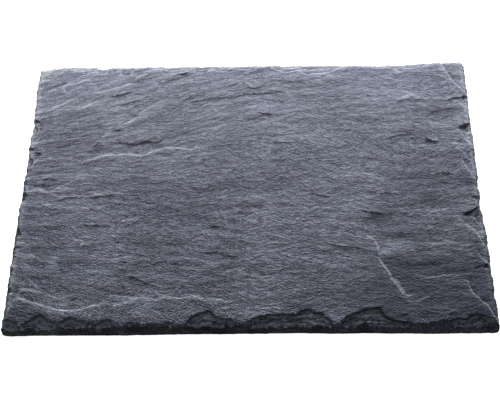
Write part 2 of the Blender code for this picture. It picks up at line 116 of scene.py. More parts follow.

# Width of the chips along the side rims that take the walls' painted shade, as (place along the edge, width).
LEFT_CHIPS = ((-100, 3.4), (-60, 3), (0, 2.5), (40, 1.4), (60, 0.4), (100, 0))
RIGHT_CHIPS = ((-100, 1.2), (0, 0.9), (100, 0.6))

# The studio. The camera's axes and place are in the frame's metres.
IMAGE_WIDTH = 500  # the photograph's frame, in pixels
FOCAL_PIXELS = 873.2
SENSOR = 36.0
CAMERA_PLACE = (0.01755, -0.28310, 0.50076)
CAMERA_RIGHT = (0.99952, 0.00829, -0.02986)
CAMERA_DOWN = (-0.00718, -0.87535, -0.48343)

# Where each edge stands, as (place along the edge, distance in from the plain rectangle).
FRONT_EDGE = ((-150, 0.3), (-143, 0), (-132, 0.4), (-77, 0.4), (-53, 0.8), (-29, 1.1), (2, 1.3),
              (32, 1.6), (50, 1.2), (74, 1.5), (110, 1), (140, 1.3), (150, 1.4))
BACK_EDGE = ((-150, 1.8), (-147, 1.5), (-135, 0.5), (-114, 0), (-104, 2), (-97, 0.5), (50, 0.5),
             (65, 1), (85, 1.5), (90, 2.2), (97, 1.4), (110, 1), (134, 0.2), (150, 0))
LEFT_EDGE = ((-100, 0.6), (-60, 0.4), (-15, 0.3), (0, 1.1), (5, 0.5), (12, 1.3), (30, 0.8),
             (40, 0.5), (46, 1.3), (53, 1.6), (65, 0.6), (80, 0), (97, 0.2), (100, 0.6))
RIGHT_EDGE = ((-100, 0.2), (-90, 0), (-60, 0.5), (-40, 0.3), (-20, 1.2), (-14, 2.2), (-6, 0.9),
              (-1, 1.9), (8, 0.7), (15, 1.2), (40, 0.4), (50, 1), (60, 0.9), (88, 0.2), (100, 0.6))

# Where the top face breaks off, as (place along the edge, depth of the broken slope).
FRONT_BREAK = ((-150, 9), (-146, 8.5), (-141, 6), (-139, 3.5), (-128, 10.6), (-126, 11.4),
               (-121, 7.2), (-119, 6.8), (-116, 5.5), (-115, 3.9), (-113, 6.6), (-109, 9.4), (-105, 9.1),
               (-100, 6), (-94, 6), (-91, 5.4), (-87, 7.9), (-85, 8.2), (-83, 7.1), (-81, 4.8),
               (-77, 3.7), (-72, 6.5), (-66, 5.4), (-61, 3.7), (-53, 4.8), (-50, 6.7), (-46, 5.9),
               (-43, 3.6), (-38, 5), (-34, 9.4), (-32, 11.3), (-29, 12.7), (-27, 12.7), (-25, 13.8),
               (-23, 12.7), (-18, 9.4), (-15, 7.9), (-12, 8.3), (-6, 5.8), (-4, 4.6), (-3, 6.3),
               (-1, 5.8), (1, 6.8), (5, 9.9), (11, 9.8), (13, 11.8), (22, 11.1), (28, 11.1), (31, 12.8),
               (35, 15), (39, 13.1), (44, 12.5), (48, 8.3), (50, 6.1), (51, 3.4), (54, 3.4), (57, 7.2),
               (59, 9.4), (65, 12.7), (69, 13.8), (76, 15.3), (79, 15.3), (81, 12), (83, 9.5),
               (86, 7.3), (91, 6), (95, 5.5), (99, 4), (102, 5.5), (106, 4.3), (113, 5.4),
               (117, 7.8), (122, 7), (125, 8.1), (132, 8), (134, 10.3), (137, 11.1), (140, 10.5),
               (145, 8.5), (150, 8))
BACK_BREAK = ((-150, 13), (-147, 13), (-141, 12), (-138, 9), (-133, 4), (-128, 3.5), (-120, 5),
              (-117, 7), (-112, 5.5), (-109, 4), (-107, 7), (-103, 7), (-101, 3.5), (-97, 3.5),
              (-96, 5.5), (-94, 3.5), (-91, 4), (-90, 9.5), (-86, 9), (-84, 4), (-70, 3.5),
              (-63, 4), (-61, 8), (-52, 7.5), (-44, 6), (-40, 3.5), (-38, 7), (-31, 7), (-29, 3.5),
              (-22, 6.5), (-17, 6), (-15, 3.5), (-9, 3.5), (-8, 4.5), (-1, 4.5), (0, 3.5),
              (13, 3.2), (20, 6), (24, 7.5), (31, 7), (33, 5), (36, 8), (39, 10), (44, 9),
              (50, 9), (56, 8), (60, 5), (64, 3.5), (80, 3.5), (88, 4.5), (92, 4.5), (97, 3.5),
              (102, 6), (105, 9), (107, 5), (112, 5), (126, 3.2), (150, 3.5))
LEFT_BREAK = ((-100, 3), (-80, 4), (-72, 3), (-40, 3.5), (-5, 3), (20, 5), (27, 3), (30, 4), (33, 3),
              (45, 5), (50, 3), (52, 5), (54, 3), (100, 4))
RIGHT_BREAK = ((-100, 4), (-60, 3), (-58, 5), (-56, 3), (-46, 4), (-30, 3), (-23, 7), (-16, 2.5),
               (-10, 4), (-7, 3), (20, 3), (40, 4), (44, 8), (48, 3), (60, 3), (68, 5), (72, 3), (100, 3))

# How wide the steep face below the breaks is, as (place along the edge, width).
FRONT_FACE = ((-150, 2.5), (-137, 2.5), (-129, 5.7), (-128, 3.1), (-117, 3), (-113, 4.6), (-106, 4.6),
              (-103, 3.5), (-97, 4.3), (-87, 4.6), (-76, 3.7), (-71, 4.5), (-57, 5.3), (-47, 4.8),
              (-36, 3.8), (-30, 3.8), (-23, 4.6), (-18, 3.8), (-13, 5.4), (-9, 4.3), (2, 5.4), (4, 3.2),
              (39, 3.4), (45, 4.7), (50, 3.3), (55, 4.1), (66, 3.3), (70, 6.4), (74, 4.1), (79, 3.5),
              (97, 3.2), (107, 4.6), (120, 6.7), (125, 3.9), (130, 3.1), (138, 3.9), (146, 6.6),
              (150, 5.5))
OTHER_FACE = ((-150, 2), (150, 2))

# Height where the broken slope meets the back wall, as (place along the edge, height).
BACK_RIM = ((-150, 5.5), (85, 5.3), (120, 6.3), (150, 6.8))

# Ledges of the top face: (height of the back side over the front side, then the line from -X to +X).
LEDGES = (
    (0.55, (-89, 34), (-84, 34), (-80, 33), (-76, 33), (-73, 35), (-68, 35.8), (-64, 34), (-58, 37)),
    (0.5, (-97, 72), (-93, 73.5), (-88, 74.5), (-84, 76), (-80, 78)),
    (0.32, (-66, 82.5), (-57, 86), (-50, 88), (-42, 91), (-38, 93)),
    (0.35, (-90, 64.5), (-83, 67.5), (-76, 70)),
    (0.45, (-94, 44.2), (-90, 44.6), (-84, 44.2)),
    (0.36, (-42, 66), (-37, 68), (-31, 69.5), (-22, 70.5), (-10, 71.5), (-3, 73.5), (9, 74), (24, 76)),
    (0.35, (-20, 79), (-12, 81.5), (-8, 83)),
    (0.35, (-7, 85), (-2, 81), (0, 78), (3, 78), (9, 80)),
    (0.3, (22, 83), (33, 84.5), (38, 84)),
    (0.3, (-6, 54), (2, 53), (9, 56)),
    (0.3, (14, 34), (24, 33.5), (30, 31)),
    (0.26, (114, 36), (120, 34.5), (122, 33), (128, 33)),
    (0.3, (92, 36), (99, 38.5), (110, 40)),
    (0.3, (-143, 2), (-136, 2), (-127, 2)),
    (0.3, (-103, -28), (-96, -28.5), (-87, -29)),
    (0.3, (-13, -20), (-4, -19.5), (4, -20)),
    (0.3, (-6, -11), (0, -13), (3, -14), (11, -15)),
    (0.3, (37, -5), (46, -7), (53, -9)),
    (0.3, (49, 20), (56, 17.5), (62, 14)),
    (0.3, (74, -4), (82, -6), (95, -6)),
    (0.35, (47, -41), (54, -43), (59, -44), (73, -45)),
    (0.35, (-75, -63), (-68, -66), (-62, -68.5), (-56, -71)),
    (0.3, (-33, -48), (-20, -47.5), (-15, -49.5), (-5, -52)),
    (0.3, (99, 65), (105, 67), (110, 66.5), (118, 67)),
    (0.22, (117, 52), (124, 57), (130, 59), (140, 60)),
    (0.36, (-126, -11), (-120, -8), (-113, -7), (-104, -7.5), (-96, -7), (-86, -5.5)),
    (0.4, (70, -18), (78, -20), (87, -21)),
    (-0.45, (-142, 60), (-135, 64), (-128, 68), (-124, 70)),
    (-0.4, (-122, 61.5), (-114, 65), (-107, 69), (-104, 71)),
    (-0.45, (-109, 75), (-100, 78.5), (-91, 81), (-86, 83.5), (-78, 83)),
    (-0.5, (-88, 48), (-80, 54), (-74, 60), (-69, 64.5), (-60, 69)),
    (-0.45, (-111, 27), (-106, 32), (-100, 39), (-94, 47)),
    (-0.4, (-141, 20), (-134, 23), (-130, 22.5), (-122, 23), (-114, 22)),
    (-0.6, (-109, 21), (-100, 24), (-93, 26), (-90, 24.5), (-80, 26), (-75, 25), (-70, 25),
     (-62, 29), (-57, 30.5), (-44, 30), (-40, 28.5), (-38, 29.5), (-34, 34)),
    (-0.35, (-63, 25), (-55, 22), (-48, 18)),
    (-0.3, (-65, 14), (-55, 15), (-50, 17)),
    (-0.45, (-140, 1), (-134, -3), (-130, -3), (-124, 2), (-119, 3), (-116, 6), (-112, 11)),
    (-0.5, (-132, -3), (-125, -6.5), (-112, -6.5), (-105, -7), (-100, -5), (-90, -3)),
    (-0.3, (-85, -26), (-76, -23), (-70, -26)),
    (-0.4, (76, 71), (83, 69.5), (91, 68)),
    (-0.45, (100, 67), (108, 71), (111, 72), (118, 69)),
    (-0.3, (116, 19), (125, 19.5), (128, 20)),
    (-0.3, (128, 12), (137, 10.5), (140, 10)),
    (-0.3, (111, -21), (119, -18.5), (127, -18)),
    (-0.45, (101, -63), (110, -65), (116, -65), (120, -63.5), (131, -64)),
    (-0.4, (108, -40), (115, -42), (125, -41), (133, -43), (141, -43)),
    (-0.5, (-143, -71), (-134, -72.5), (-127, -74), (-118, -78), (-109, -77)),
    (-0.65, (-144, -76.5), (-134, -80), (-128, -82), (-115, -86), (-105, -86), (-95, -83), (-88, -81)),
    (-0.5, (-86, -76), (-78, -77), (-62, -78), (-57, -79), (-50, -77.5), (-42, -78.5), (-31, -77),
     (-27, -79), (-22, -78.5), (-16, -79.5), (-8, -81)),
    (-0.4, (-89, -53), (-78, -50.5), (-69, -50)),
    (-0.4, (-17, -63), (-11, -59.5), (-8, -58.5), (0, -58)),
    (-0.4, (-7, -59), (-3, -62.5), (8, -64), (17, -63)),
    (-0.3, (3, -81), (8, -84.5), (15, -84.5), (23, -85)),
    (-0.35, (-148, 69), (-144, 73), (-138, 80), (-130, 83), (-121, 85), (-114, 89)),
    (-0.3, (72, -35), (78, -38.5), (81, -44), (80.5, -50)),
    (-0.3, (80, -51), (82.5, -56), (86.5, -62.5), (90, -69), (94, -76.5)),
)

# Flakes at the left and right edges, written as the ledges are.
EDGE_FLAKES = (
    (-0.6, (133, 101), (136, 92), (139, 86), (141, 82), (144, 78), (147, 74), (152, 68)),
    (0.5, (134, 66), (138, 68), (143, 68.5), (152, 71)),
    (-0.5, (141, 68), (144, 64), (152, 54)),
    (-0.4, (143.5, 57), (146, 53), (152, 45)),
    (0.8, (139.5, 44.5), (143, 46), (152, 49)),
    (-0.5, (139.5, 44), (142, 39), (146, 33), (152, 24)),
    (-0.4, (136.5, 34), (140, 27), (143, 22), (146, 18)),
    (-0.5, (139.5, 20), (142, 14), (145, 8), (152, -6)),
    (0.4, (142, -8), (145, -9), (152, -12)),
    (0.9, (136, -21.5), (141, -19.5), (145, -17), (152, -14.5)),
    (-0.7, (132.5, -23), (137, -28), (140, -31), (143, -34), (144.5, -38), (146, -42), (152, -50)),
    (-0.35, (142.5, -34), (146, -33.5), (152, -32)),
    (-0.5, (141.5, -44), (142, -49), (144, -52), (152, -60)),
    (0.4, (138, -59), (144, -57.5), (152, -56)),
    (-0.8, (133.5, -66), (135, -73), (137, -77), (140, -80), (144, -83.5), (146, -88), (152, -99)),
    (0.8, (-153, 54.5), (-147, 53), (-143, 51.5)),
    (-0.5, (-147, 31), (-143.5, 38), (-141.5, 45), (-141, 48)),
    (0.5, (-153, 31.5), (-147, 30.5), (-144, 29.5)),
    (0.45, (-145, 27.5), (-142, 26.8), (-139, 26)),
    (-0.4, (-148, 14), (-143, 21), (-140, 25), (-139, 28)),
    (-0.4, (-149, -13), (-145, -5), (-142, -1), (-137, 2)),
    (-0.45, (-148, -90), (-144.5, -80), (-142, -76), (-140, -70)),
)

# Thin lips and crevices of the top face, written as the ledges are.
FINE_LINES = (
    (0.5, (-50, 91), (-43, 93)),
    (0.4, (-82, 56), (-76, 57.5)),
    (0.35, (4, 58), (16, 56)),
    (0.5, (-137, 6.2), (-131, 6.7), (-126, 6)),
    (0.4, (-9, 7), (-2, 7.5)),
    (0.45, (-26, -28.5), (-18, -29.8)),
    (0.4, (-107, 29), (-103, 34), (-101, 36)),
    (0.35, (77, 71), (84, 71.5)),
    (0.55, (117, 37), (120, 35), (122, 33.5), (126, 33)),
    (0.5, (125, 10.5), (127, 9), (132, 8)),
    (0.4, (-122.5, 22), (-121, 21), (-119, 20.5)),
    (0.4, (-107, -27), (-103, -28.2), (-99, -28.5)),
    (0.35, (-120, -41), (-114, -41.5)),
    (-0.4, (-134, 77), (-131, 81), (-128, 76)),
    (-0.35, (-101, 33), (-96, 37)),
    (-0.3, (-135, -12), (-128, -12)),
    (-0.45, (-84, -83.5), (-78, -81.5), (-73, -80.5), (-68, -78)),
    (-0.35, (137, 34), (141, 28)),
    (-0.3, (128, -76), (136, -77)),
    (-0.45, (-81, 88), (-74, 94), (-69, 96)),
    (-0.35, (101, 95), (106, 90)),
    (-0.3, (69, -84), (81, -82.5)),
    (-0.45, (103, -91), (106, -93.5), (109, -96)),
    (-0.35, (-145, -38), (-142, -41), (-138, -42)),
    (-0.35, (-139, -46), (-135, -50), (-133, -51)),
    (-0.35, (-140, -55), (-136, -58), (-132, -58.5)),
    (-0.35, (-137, -66), (-131, -69.5), (-127, -70)),
    (-0.4, (101, -43), (104, -48.5), (106, -48)),
    (-0.35, (110, -41), (117, -41.5), (119, -43)),
    (-0.35, (114, -45), (118, -47.5), (124, -47)),
    (-0.3, (115, -19), (118, -17.5), (127, -17.5)),
)

# Creases and lips inside the front scoops, written as the ledges are.
SCOOP_LINES = (
    (0.6, (24, -94.5), (27, -92.5), (30, -91.5), (33, -91.8)),
    (0.5, (30, -94.5), (33, -93.5), (37, -94), (40, -96)),
    (0.6, (55, -95.5), (59, -93), (63, -91.3), (66, -91)),
    (0.6, (63, -98), (67, -95.2), (71, -94.3), (78, -94.6), (83, -95.3)),
    (0.6, (79.5, -89), (83, -91.5), (87, -93.3), (92, -94.2), (98, -94.3)),
    (0.5, (85, -88.2), (92, -88.7), (99, -89.3)),
    (0.5, (-23, -93), (-18, -94.5), (-14, -96)),
    (0.6, (-137, -97), (-133, -95.5), (-129, -96), (-125, -97.5)),
    (0.5, (-112, -96), (-109, -95.5), (-104, -96.5)),
    (0.5, (6, -92.5), (12, -91.5), (19, -92)),
    (0.5, (133, -93), (138, -91.5), (143, -92.5)),
    (-0.6, (-20, -94.5), (-17.5, -96.8)),
    (-0.6, (-17.5, -96.8), (-15, -95.2)),
    (-0.4, (34, -94), (39, -92.5), (43, -92.3)),
    (-0.4, (68, -90.5), (74, -89)),
    (-0.4, (-127, -93), (-125, -95)),
)

# Low swells and hollows of the top face: (x, y, half length, half width, height).
SWELLS = (
    (108, 69, 11, 5, 0.35),
    (-20, 30, 60, 25, 0.2),
    (-118, 40, 25, 18, 0.2),
    (20, -60, 50, 22, 0.15),
    (131, 53, 13, 6, -0.4),
    (81, -25, 9, 6, -0.4),
    (-60, -20, 45, 16, -0.2),
    (95, -50, 30, 16, -0.2),
    (60, 45, 40, 16, -0.15),
)

# The underside's flakes are darkened as painted shade in their hollows.
BASE_FLAKE_SHADE = 0.9  # how much darker the underside's flakes are, per millimetre of depth

# Flakes gone from the underside: (x, y, half length, half width, depth).
BASE_FLAKES = (
    (-104, 58, 34, 19, 0.6),
    (-70, -62, 42, 17, 0.5),
    (98, -48, 30, 24, 0.6),
    (62, 66, 46, 13, 0.5),
    (128, 22, 15, 20, 0.4),
    (-132, -8, 12, 30, 0.5),
)

# Pale mineral streaks and scratches, as (strength, then the line).
VEINS = (
    (0.3, (73, -35.5), (76.5, -37.5), (79, -40), (80.5, -43), (81.3, -45.5), (80.5, -48.5)),
    (0.5, (80.3, -51), (82, -55), (84.5, -59), (86.3, -62), (87.3, -64.5)),
    (0.35, (86.5, -64), (88, -67), (90, -70)),
    (0.5, (89, -65.5), (90.3, -68.5), (91.7, -71.5), (93.5, -75), (95, -77.5)),
    (0.35, (94.5, -76), (97, -77.7), (99.5, -77)),
    (0.22, (95.5, -81), (99, -81.5), (102, -81), (106, -79), (111, -77.5)),
    (0.35, (81.8, -53.5), (84.5, -58.5), (88.5, -64)),
    (0.3, (90.5, -66), (93, -71), (96, -76)),
    (0.5, (-107, -43.5), (-105.5, -41.5), (-104, -40)),
    (0.25, (-112, -39), (-107, -38), (-104, -40.5)),
)

# Bluish bloom (above 0) and darker patches (below 0), the large darker ones over the right front and along
# the front edge being painted shade: (x, y, half length, half width, strength).
TONES_AND_PAINTED_SHADE = (
    (89, -44.5, 9, 3.5, 1.0),
    (84, -47, 4, 2, 0.9),
    (97, -43.5, 8, 3, 0.6),
    (97, -79.5, 3.5, 2.5, 0.5),
    (103, -79.5, 6, 1.5, 0.35),
    (93, -57, 8, 4, -0.5),
    (-122.5, -52, 3, 2.5, 0.8),
    (-123, -57, 4, 2, 0.6),
    (-112, -46, 7, 3, 0.5),
    (-66, -86, 6, 3, 0.6),
    (54, 90, 8, 3, 0.4),
    (-7.5, -16.5, 2.5, 1.0, 0.6),
    (128, 56, 10, 4, -0.5),
    (86, -24, 12, 5, -0.5),
    (139, 2, 10, 7, -0.3),
    (143, -20, 5, 2.5, -0.6),
    (144.5, 44, 3, 2, -0.6),
    (-137.5, 22, 3, 3, -0.4),
    (-104, 30, 4, 4, -0.4),
    (118, -82, 62, 36, -1.1),
    (105, -59, 30, 5, -0.4),
    (100, -85, 35, 6, -0.3),
    (-95, -92, 50, 6, -0.15),
    (108, 42, 14, 5, -0.45),
    (122, 14, 28, 16, -0.3),
    (124, -11, 26, 13, -0.35),
    (72, -16, 6, 8, 0.15),
    (-95, -61, 12, 3, 0.35),
    (-139, -88, 11, 7, -0.8),
    (0, -102, 170, 10, -0.45),
    (115, 60, 50, 45, 0.1),
    (95, -42, 34, 12, -0.2),
    (-20, 38, 50, 14, -0.12),
)

# The slate's colours.
SLATE_DEEP = (0.043, 0.046, 0.064, 1.0)
SLATE_MEAN = (0.065, 0.069, 0.096, 1.0)
SLATE_PALE = (0.128, 0.134, 0.173, 1.0)
SLATE_WISP = (0.200, 0.214, 0.255, 1.0)
SLATE_DARK = (0.0115, 0.0135, 0.022, 1.0)
SLATE_SCOOP = (0.076, 0.081, 0.098, 1.0)
SLATE_FLECK_AND_HIGHLIGHT = (0.185, 0.196, 0.228, 1.0)
SLATE_BLACK = (0.005, 0.005, 0.0055, 1.0)
SLATE_WEAR_AND_HIGHLIGHT = (0.240, 0.253, 0.290, 1.0)
SLATE_FLAKE_AND_SHEEN = (0.270, 0.270, 0.285, 1.0)
SLATE_BLUISH = (0.200, 0.230, 0.300, 1.0)
VEIN = (0.500, 0.525, 0.590, 1.0)
SHEEN_TINT = (0.70, 0.80, 1.0, 1.0)

FLOOR_SIDE = 4.0
FLOOR_GAP = 0.05  # the floor lies this far below the slab, so that the two don't share a plane
FLOOR_GLOW = 0.9  # the pale floor is lit from below a little, as on a light table
WORLD_LIGHT = 0.3
WORLD_COLOUR = (0.95, 0.97, 1.0, 1.0)
# Soft panels: (name, place, width, height, power). The low one behind the slab draws out its relief.
PANELS = (
    ("back_panel", (0.0, 0.45, 0.12), 0.9, 0.2, 14.2),
    ("left_panel", (-1.13, 0.20, 0.80), 0.5, 0.4, 3.4),
)


# --- Numbers and noise -------------------------------------------------------------------------

def smooth(value, low, high):
    """0 below low, 1 above high, and an S-curve between them."""
    share = np.clip((value - low) / (high - low), 0.0, 1.0)
    return share * share * (3.0 - 2.0 * share)


def lattice_angle(column, row, seed):
    """The same random-looking angle each time for a whole-numbered lattice point."""
    mixed = column * 73856093 ^ row * 19349663 ^ seed * 83492791
    mixed = (mixed ^ mixed >> 13) * 1274126177 & 0x7FFFFFFF
    return (mixed ^ mixed >> 15) % 6283 / 1000.0


def noise(x, y, seed):
    """Smooth noise from about -1 to 1, with swells about one unit across."""
    column = np.floor(x).astype(np.int64)
    row = np.floor(y).astype(np.int64)
    across = x - column
    along = y - row

    def corner(right, up):
        angle = lattice_angle(column + right, row + up, seed)
        return np.cos(angle) * (across - right) + np.sin(angle) * (along - up)

    blend_x = across ** 3 * (across * (across * 6 - 15) + 10)
    blend_y = along ** 3 * (along * (along * 6 - 15) + 10)
    low = corner(0, 0) + (corner(1, 0) - corner(0, 0)) * blend_x
    high = corner(0, 1) + (corner(1, 1) - corner(0, 1)) * blend_x
    return 1.4 * (low + (high - low) * blend_y)


def read_line(points, place):
    """The height of a broken line of (place, value) points at each place."""
    places, values = zip(*points)
    return np.interp(place, places, values)


def terrace(height, step, riser):
    """Turns a slope into level treads one step apart, joined by risers of the given share."""
    tread = np.floor(height / step)
    return step * (tread + smooth(height / step - tread, 0.5 - riser / 2, 0.5 + riser / 2))


def mounds(x, y, table):
    """The sum of soft round mounds, as (x, y, half length, half width, height)."""
    height = np.zeros(x.shape)
    for centre_x, centre_y, half_x, half_y, rise in table:
        height += rise * np.exp(-((x - centre_x) / half_x) ** 2 - ((y - centre_y) / half_y) ** 2)
    return height


# --- The slab's shape --------------------------------------------------------------------------

def edge_wander(points, place, toward, half, teeth, seed):
    """How far in an edge stands, dying out within the slab: toward grows to half at the edge."""
    wander = 0.7 * noise(place / 4.7, 0.4, seed) + 0.9 * noise(place / 2.2, 0.4, seed + 5)
    nicks = noise(place / 1.1, 0.4, seed + 9)
    inset = read_line(points, place) + teeth * (wander + NICKS * nicks)
    return inset * smooth(toward, half - EDGE_FADE, half)


def outward(x, y):
    """The way out of the slab at its edges, turning within CORNER of each corner."""
    out_x = np.clip((np.abs(x) - HALF_LENGTH + CORNER) / CORNER, 0, 1) * np.sign(x)
    out_y = np.clip((np.abs(y) - HALF_WIDTH + CORNER) / CORNER, 0, 1) * np.sign(y)
    return out_x, out_y


def shaped(x, y):
    """Moves points of the plain rectangle to where the worn outline puts them."""
    left = edge_wander(LEFT_EDGE, y, -x, HALF_LENGTH, TEETH, 11)
    right = edge_wander(RIGHT_EDGE, y, x, HALF_LENGTH, TEETH, 12)
    front = edge_wander(FRONT_EDGE, x, -y, HALF_WIDTH, FRONT_TEETH, 13)
    back = edge_wander(BACK_EDGE, x, y, HALF_WIDTH, TEETH, 14)
    out_x, out_y = outward(x, y)
    tip = CORNER_CUT * np.abs(out_x * out_y)
    return x + left - right - tip * out_x, y + front - back - tip * out_y


def line_reach(x, y, line, most):
    """The points within most of a line: which they are, their gap to it, above 0 on its left, and how
    far from its ends they are."""
    points = np.array(line, float)
    low = points.min(axis=0) - most
    high = points.max(axis=0) + most
    near = np.nonzero((x > low[0]) & (x < high[0]) & (y > low[1]) & (y < high[1]))[0]
    px = x[near]
    py = y[near]
    nearest = np.full(px.shape, np.inf)
    side = np.ones(px.shape)
    walked = np.zeros(px.shape)
    length = 0.0
    for (x0, y0), (x1, y1) in zip(line[:-1], line[1:]):
        run = np.hypot(x1 - x0, y1 - y0)
        along_x = (x1 - x0) / run
        along_y = (y1 - y0) / run
        along = np.clip((px - x0) * along_x + (py - y0) * along_y, 0, run)
        gap = np.hypot(px - x0 - along * along_x, py - y0 - along * along_y)
        closer = gap < nearest
        nearest = np.where(closer, gap, nearest)
        side = np.where(closer, np.sign(along_x * (py - y0) - along_y * (px - x0)), side)
        walked = np.where(closer, length + along, walked)
        length += run
    return near, nearest * side, np.minimum(walked, length - walked)


def add_ledges(x, y, height, ledges, share, reach, taper):
    """Adds a share of each ledge to the heights: higher on its left, or lower where its step is negative."""
    for step, *line in ledges:
        near, gap, from_end = line_reach(x, y, line, 2.2 * reach)
        face = np.clip(gap / LEDGE_RUN, -1, 1)
        fading = np.exp(-((gap / reach) ** 2))
        height[near] += 0.5 * share * step * face * fading * smooth(from_end, 0, taper)


def bend_past(value, width):
    """0 well below 0, the value itself well above it, and a bend of about a width between them."""
    return (value + np.hypot(value, width)) / 2


def grain_across(x, y):
    """How far across the grain a point lies: at the left, the grain rises rightwards at the back and
    falls at the front."""
    rising = 0.42 * smooth(y, -20, 60) * (bend_past(-x - 10, 55) - 40)
    falling = 0.3 * smooth(-y, 25, 70) * bend_past(-x - 110, 20)
    return y + rising - falling


def riven(x, y):
    """The cleaved grain: long low treads."""
    across = grain_across(x, y)
    height = 0.55 * noise(x / 42, across / 10, 21) + 0.3 * noise(x / 19, across / 5, 22)
    return terrace(height, 0.24, 0.35)


def fine_grain(x, y):
    """Thinner, shorter treads and streaks on top of the broad ones."""
    across = grain_across(x, y) + 1.2 * noise(x / 9, y / 5, 61)
    height = 0.30 * noise(x / 9, across / 3.6, 62) + 0.18 * noise(x / 4.5, across / 2.0, 63)
    treads = terrace(height, 0.11, 0.4)
    return treads + 0.06 * noise(x / 2.6, across / 1.3, 64)


def ragged_places(x, y):
    """The places with a small wander, for lines that aren't drawn with a ruler."""
    return x + 0.4 * noise(x / 4, y / 3, 31), y + 0.35 * noise(x / 3, y / 3, 32)


def top_face(x, y):
    height = TOP + 0.45 * riven(x, y) + 0.42 * fine_grain(x, y) + mounds(x, y, SWELLS)
    ragged_x, ragged_y = ragged_places(x, y)
    add_ledges(ragged_x, ragged_y, height, LEDGES, LEDGE_SHARE, LEDGE_REACH, LEDGE_TAPER)
    add_ledges(ragged_x, ragged_y, height, EDGE_FLAKES, FLAKE_SHARE, FLAKE_REACH, FLAKE_TAPER)
    add_ledges(ragged_x, ragged_y, height, FINE_LINES, LEDGE_SHARE, FLAKE_REACH, FLAKE_TAPER)
    return np.minimum(height, THICKNESS)


def face_width(face, place, seed):
    """How far in from an edge its steep face reaches."""
    return read_line(face, place) * (1 + 0.2 * noise(place / 2.7, 0.5, seed + 2))


def broken_slope(inset, place, breaks, face, rim, step, slope, seed):
    """One edge's breaks: how far they lie under the top face, how far inside them a point is, their
    layer, and how much of a flake they are."""
    ragged = place + 0.5 * noise(inset / 2.1, place / 2.3, seed + 60)
    depth = read_line(breaks, ragged) * (1 + 0.06 * noise(place / 3.1, 0.5, seed))
    depth = depth + 0.35 * noise(place / 1.7, inset / 4, seed + 61)
    width = face_width(face, place, seed)
    flaked = smooth(depth - width, FLAKE_FROM, FLAKE_FULL)
    inside = depth - inset
    toward_edge = np.clip(inside / np.maximum(depth, 0.5), 0, 1)
    flake = flaked * (step * smooth(inside, 0, RISER) + slope * toward_edge)
    layer = flake / LAMINA + 0.4 * noise(place / 4, inset / 1.8, seed + 62)
    layer = layer + 0.2 * noise(place / 1.6, inset, seed + 63)
    layered = 0.35 * flake + 0.65 * LAMINA * terrace(layer, 1.0, 0.25)
    flake = np.where(inside > 0, np.maximum(layered, 0), 0.0)
    rest = TOP - rim - flaked * (step + slope) + 0.35 * noise(place / 7, 0.5, seed + 1)
    steep = np.maximum(rest, 0.4) * np.clip(1 - inset / width, 0, 1) ** 1.1
    return SimpleNamespace(fall=flake + steep, inside=inside, layer=layer, flaked=flaked)


def edge_breaks(x, y):
    """The breaks at a point of the plain rectangle: the deepest fall of the four edges, and what the
    materials need of each."""
    back_rim = read_line(BACK_RIM, x)
    front = broken_slope(y + HALF_WIDTH, x, FRONT_BREAK, FRONT_FACE, FRONT_RIM, FRONT_STEP, FRONT_SLOPE,
                         FRONT_SEED)
    back = broken_slope(HALF_WIDTH - y, x, BACK_BREAK, OTHER_FACE, back_rim, BACK_STEP, BACK_SLOPE, 43)
    left = broken_slope(x + HALF_LENGTH, y, LEFT_BREAK, OTHER_FACE, RIM, SIDE_STEP, SIDE_SLOPE, 45)
    right = broken_slope(HALF_LENGTH - x, y, RIGHT_BREAK, OTHER_FACE, RIM, SIDE_STEP, SIDE_SLOPE, 47)
    fall = np.maximum.reduce([edge.fall for edge in (front, back, left, right)])
    side = np.maximum(left.inside, right.inside)
    # The pale breaks, partly painted sheen: the back's, and the sides' further towards the back.
    pale = np.maximum(back.inside, SIDE_PALENESS * side * smooth(y, 0, 50))
    return SimpleNamespace(fall=fall, front=front, side=side, pale=pale)


def base_face(x, y):
    """The underside: level at z = 0, with shallow flakes gone in two layers."""
    hollow = np.zeros(x.shape)
    for centre_x, centre_y, half_x, half_y, depth in BASE_FLAKES:
        away = np.hypot((x - centre_x) / half_x, (y - centre_y) / half_y)
        away = away + 0.2 * noise(x / 14, y / 9, 51) + 0.12 * noise(x / 5, y / 3.5, 52)
        layers = smooth(1 - away, 0, 0.06) + smooth(1 - away, 0.3, 0.36)
        hollow = np.maximum(hollow, depth * layers / 2)
    return hollow


# --- The mesh ----------------------------------------------------------------------------------

def grid_lines(half, first_band, first_step, inner_step):
    """Grid places from -half to half, closer together along both edges, with a count that BASE_EVERY fits."""
    first = round(first_band / first_step)
    last = round(EDGE_BAND / EDGE_GRID)
    inner = round((2 * half - first_band - EDGE_BAND) / inner_step)
    inner += -(inner + first + last) % BASE_EVERY
    start = np.linspace(-half, -half + first_band, first + 1)
    middle = np.linspace(-half + first_band, half - EDGE_BAND, inner + 1)
    end = np.linspace(half - EDGE_BAND, half, last + 1)
    return np.concatenate([start, middle[1:-1], end])


def border(grid):
    """A grid's border points in order, counter-clockwise seen from above."""
    return np.concatenate([grid[0], grid[1:, -1], grid[-1, -2::-1], grid[-2:0:-1, 0]])


def grid_faces(grid, upward):
    corners = [grid[:-1, :-1], grid[:-1, 1:], grid[1:, 1:], grid[1:, :-1]]
    faces = np.stack(corners, axis=-1).reshape(-1, 4)
    return (faces if upward else faces[:, ::-1]).tolist()


def band_faces(upper, lower):
    """Faces of a closed band between two rings of as many points."""
    return np.column_stack([upper, lower, np.roll(lower, -1), np.roll(upper, -1)]).tolist()


def stitch_faces(upper, lower, every):
    """Faces of a closed band from a ring to one with a point in every so many."""
    count = len(upper)
    faces = []
    for k in range(len(lower)):
        fan = [int(upper[(k * every + i) % count]) for i in range(every, -1, -1)]
        faces.append(fan + [int(lower[k]), int(lower[(k + 1) % len(lower)])])
    return faces


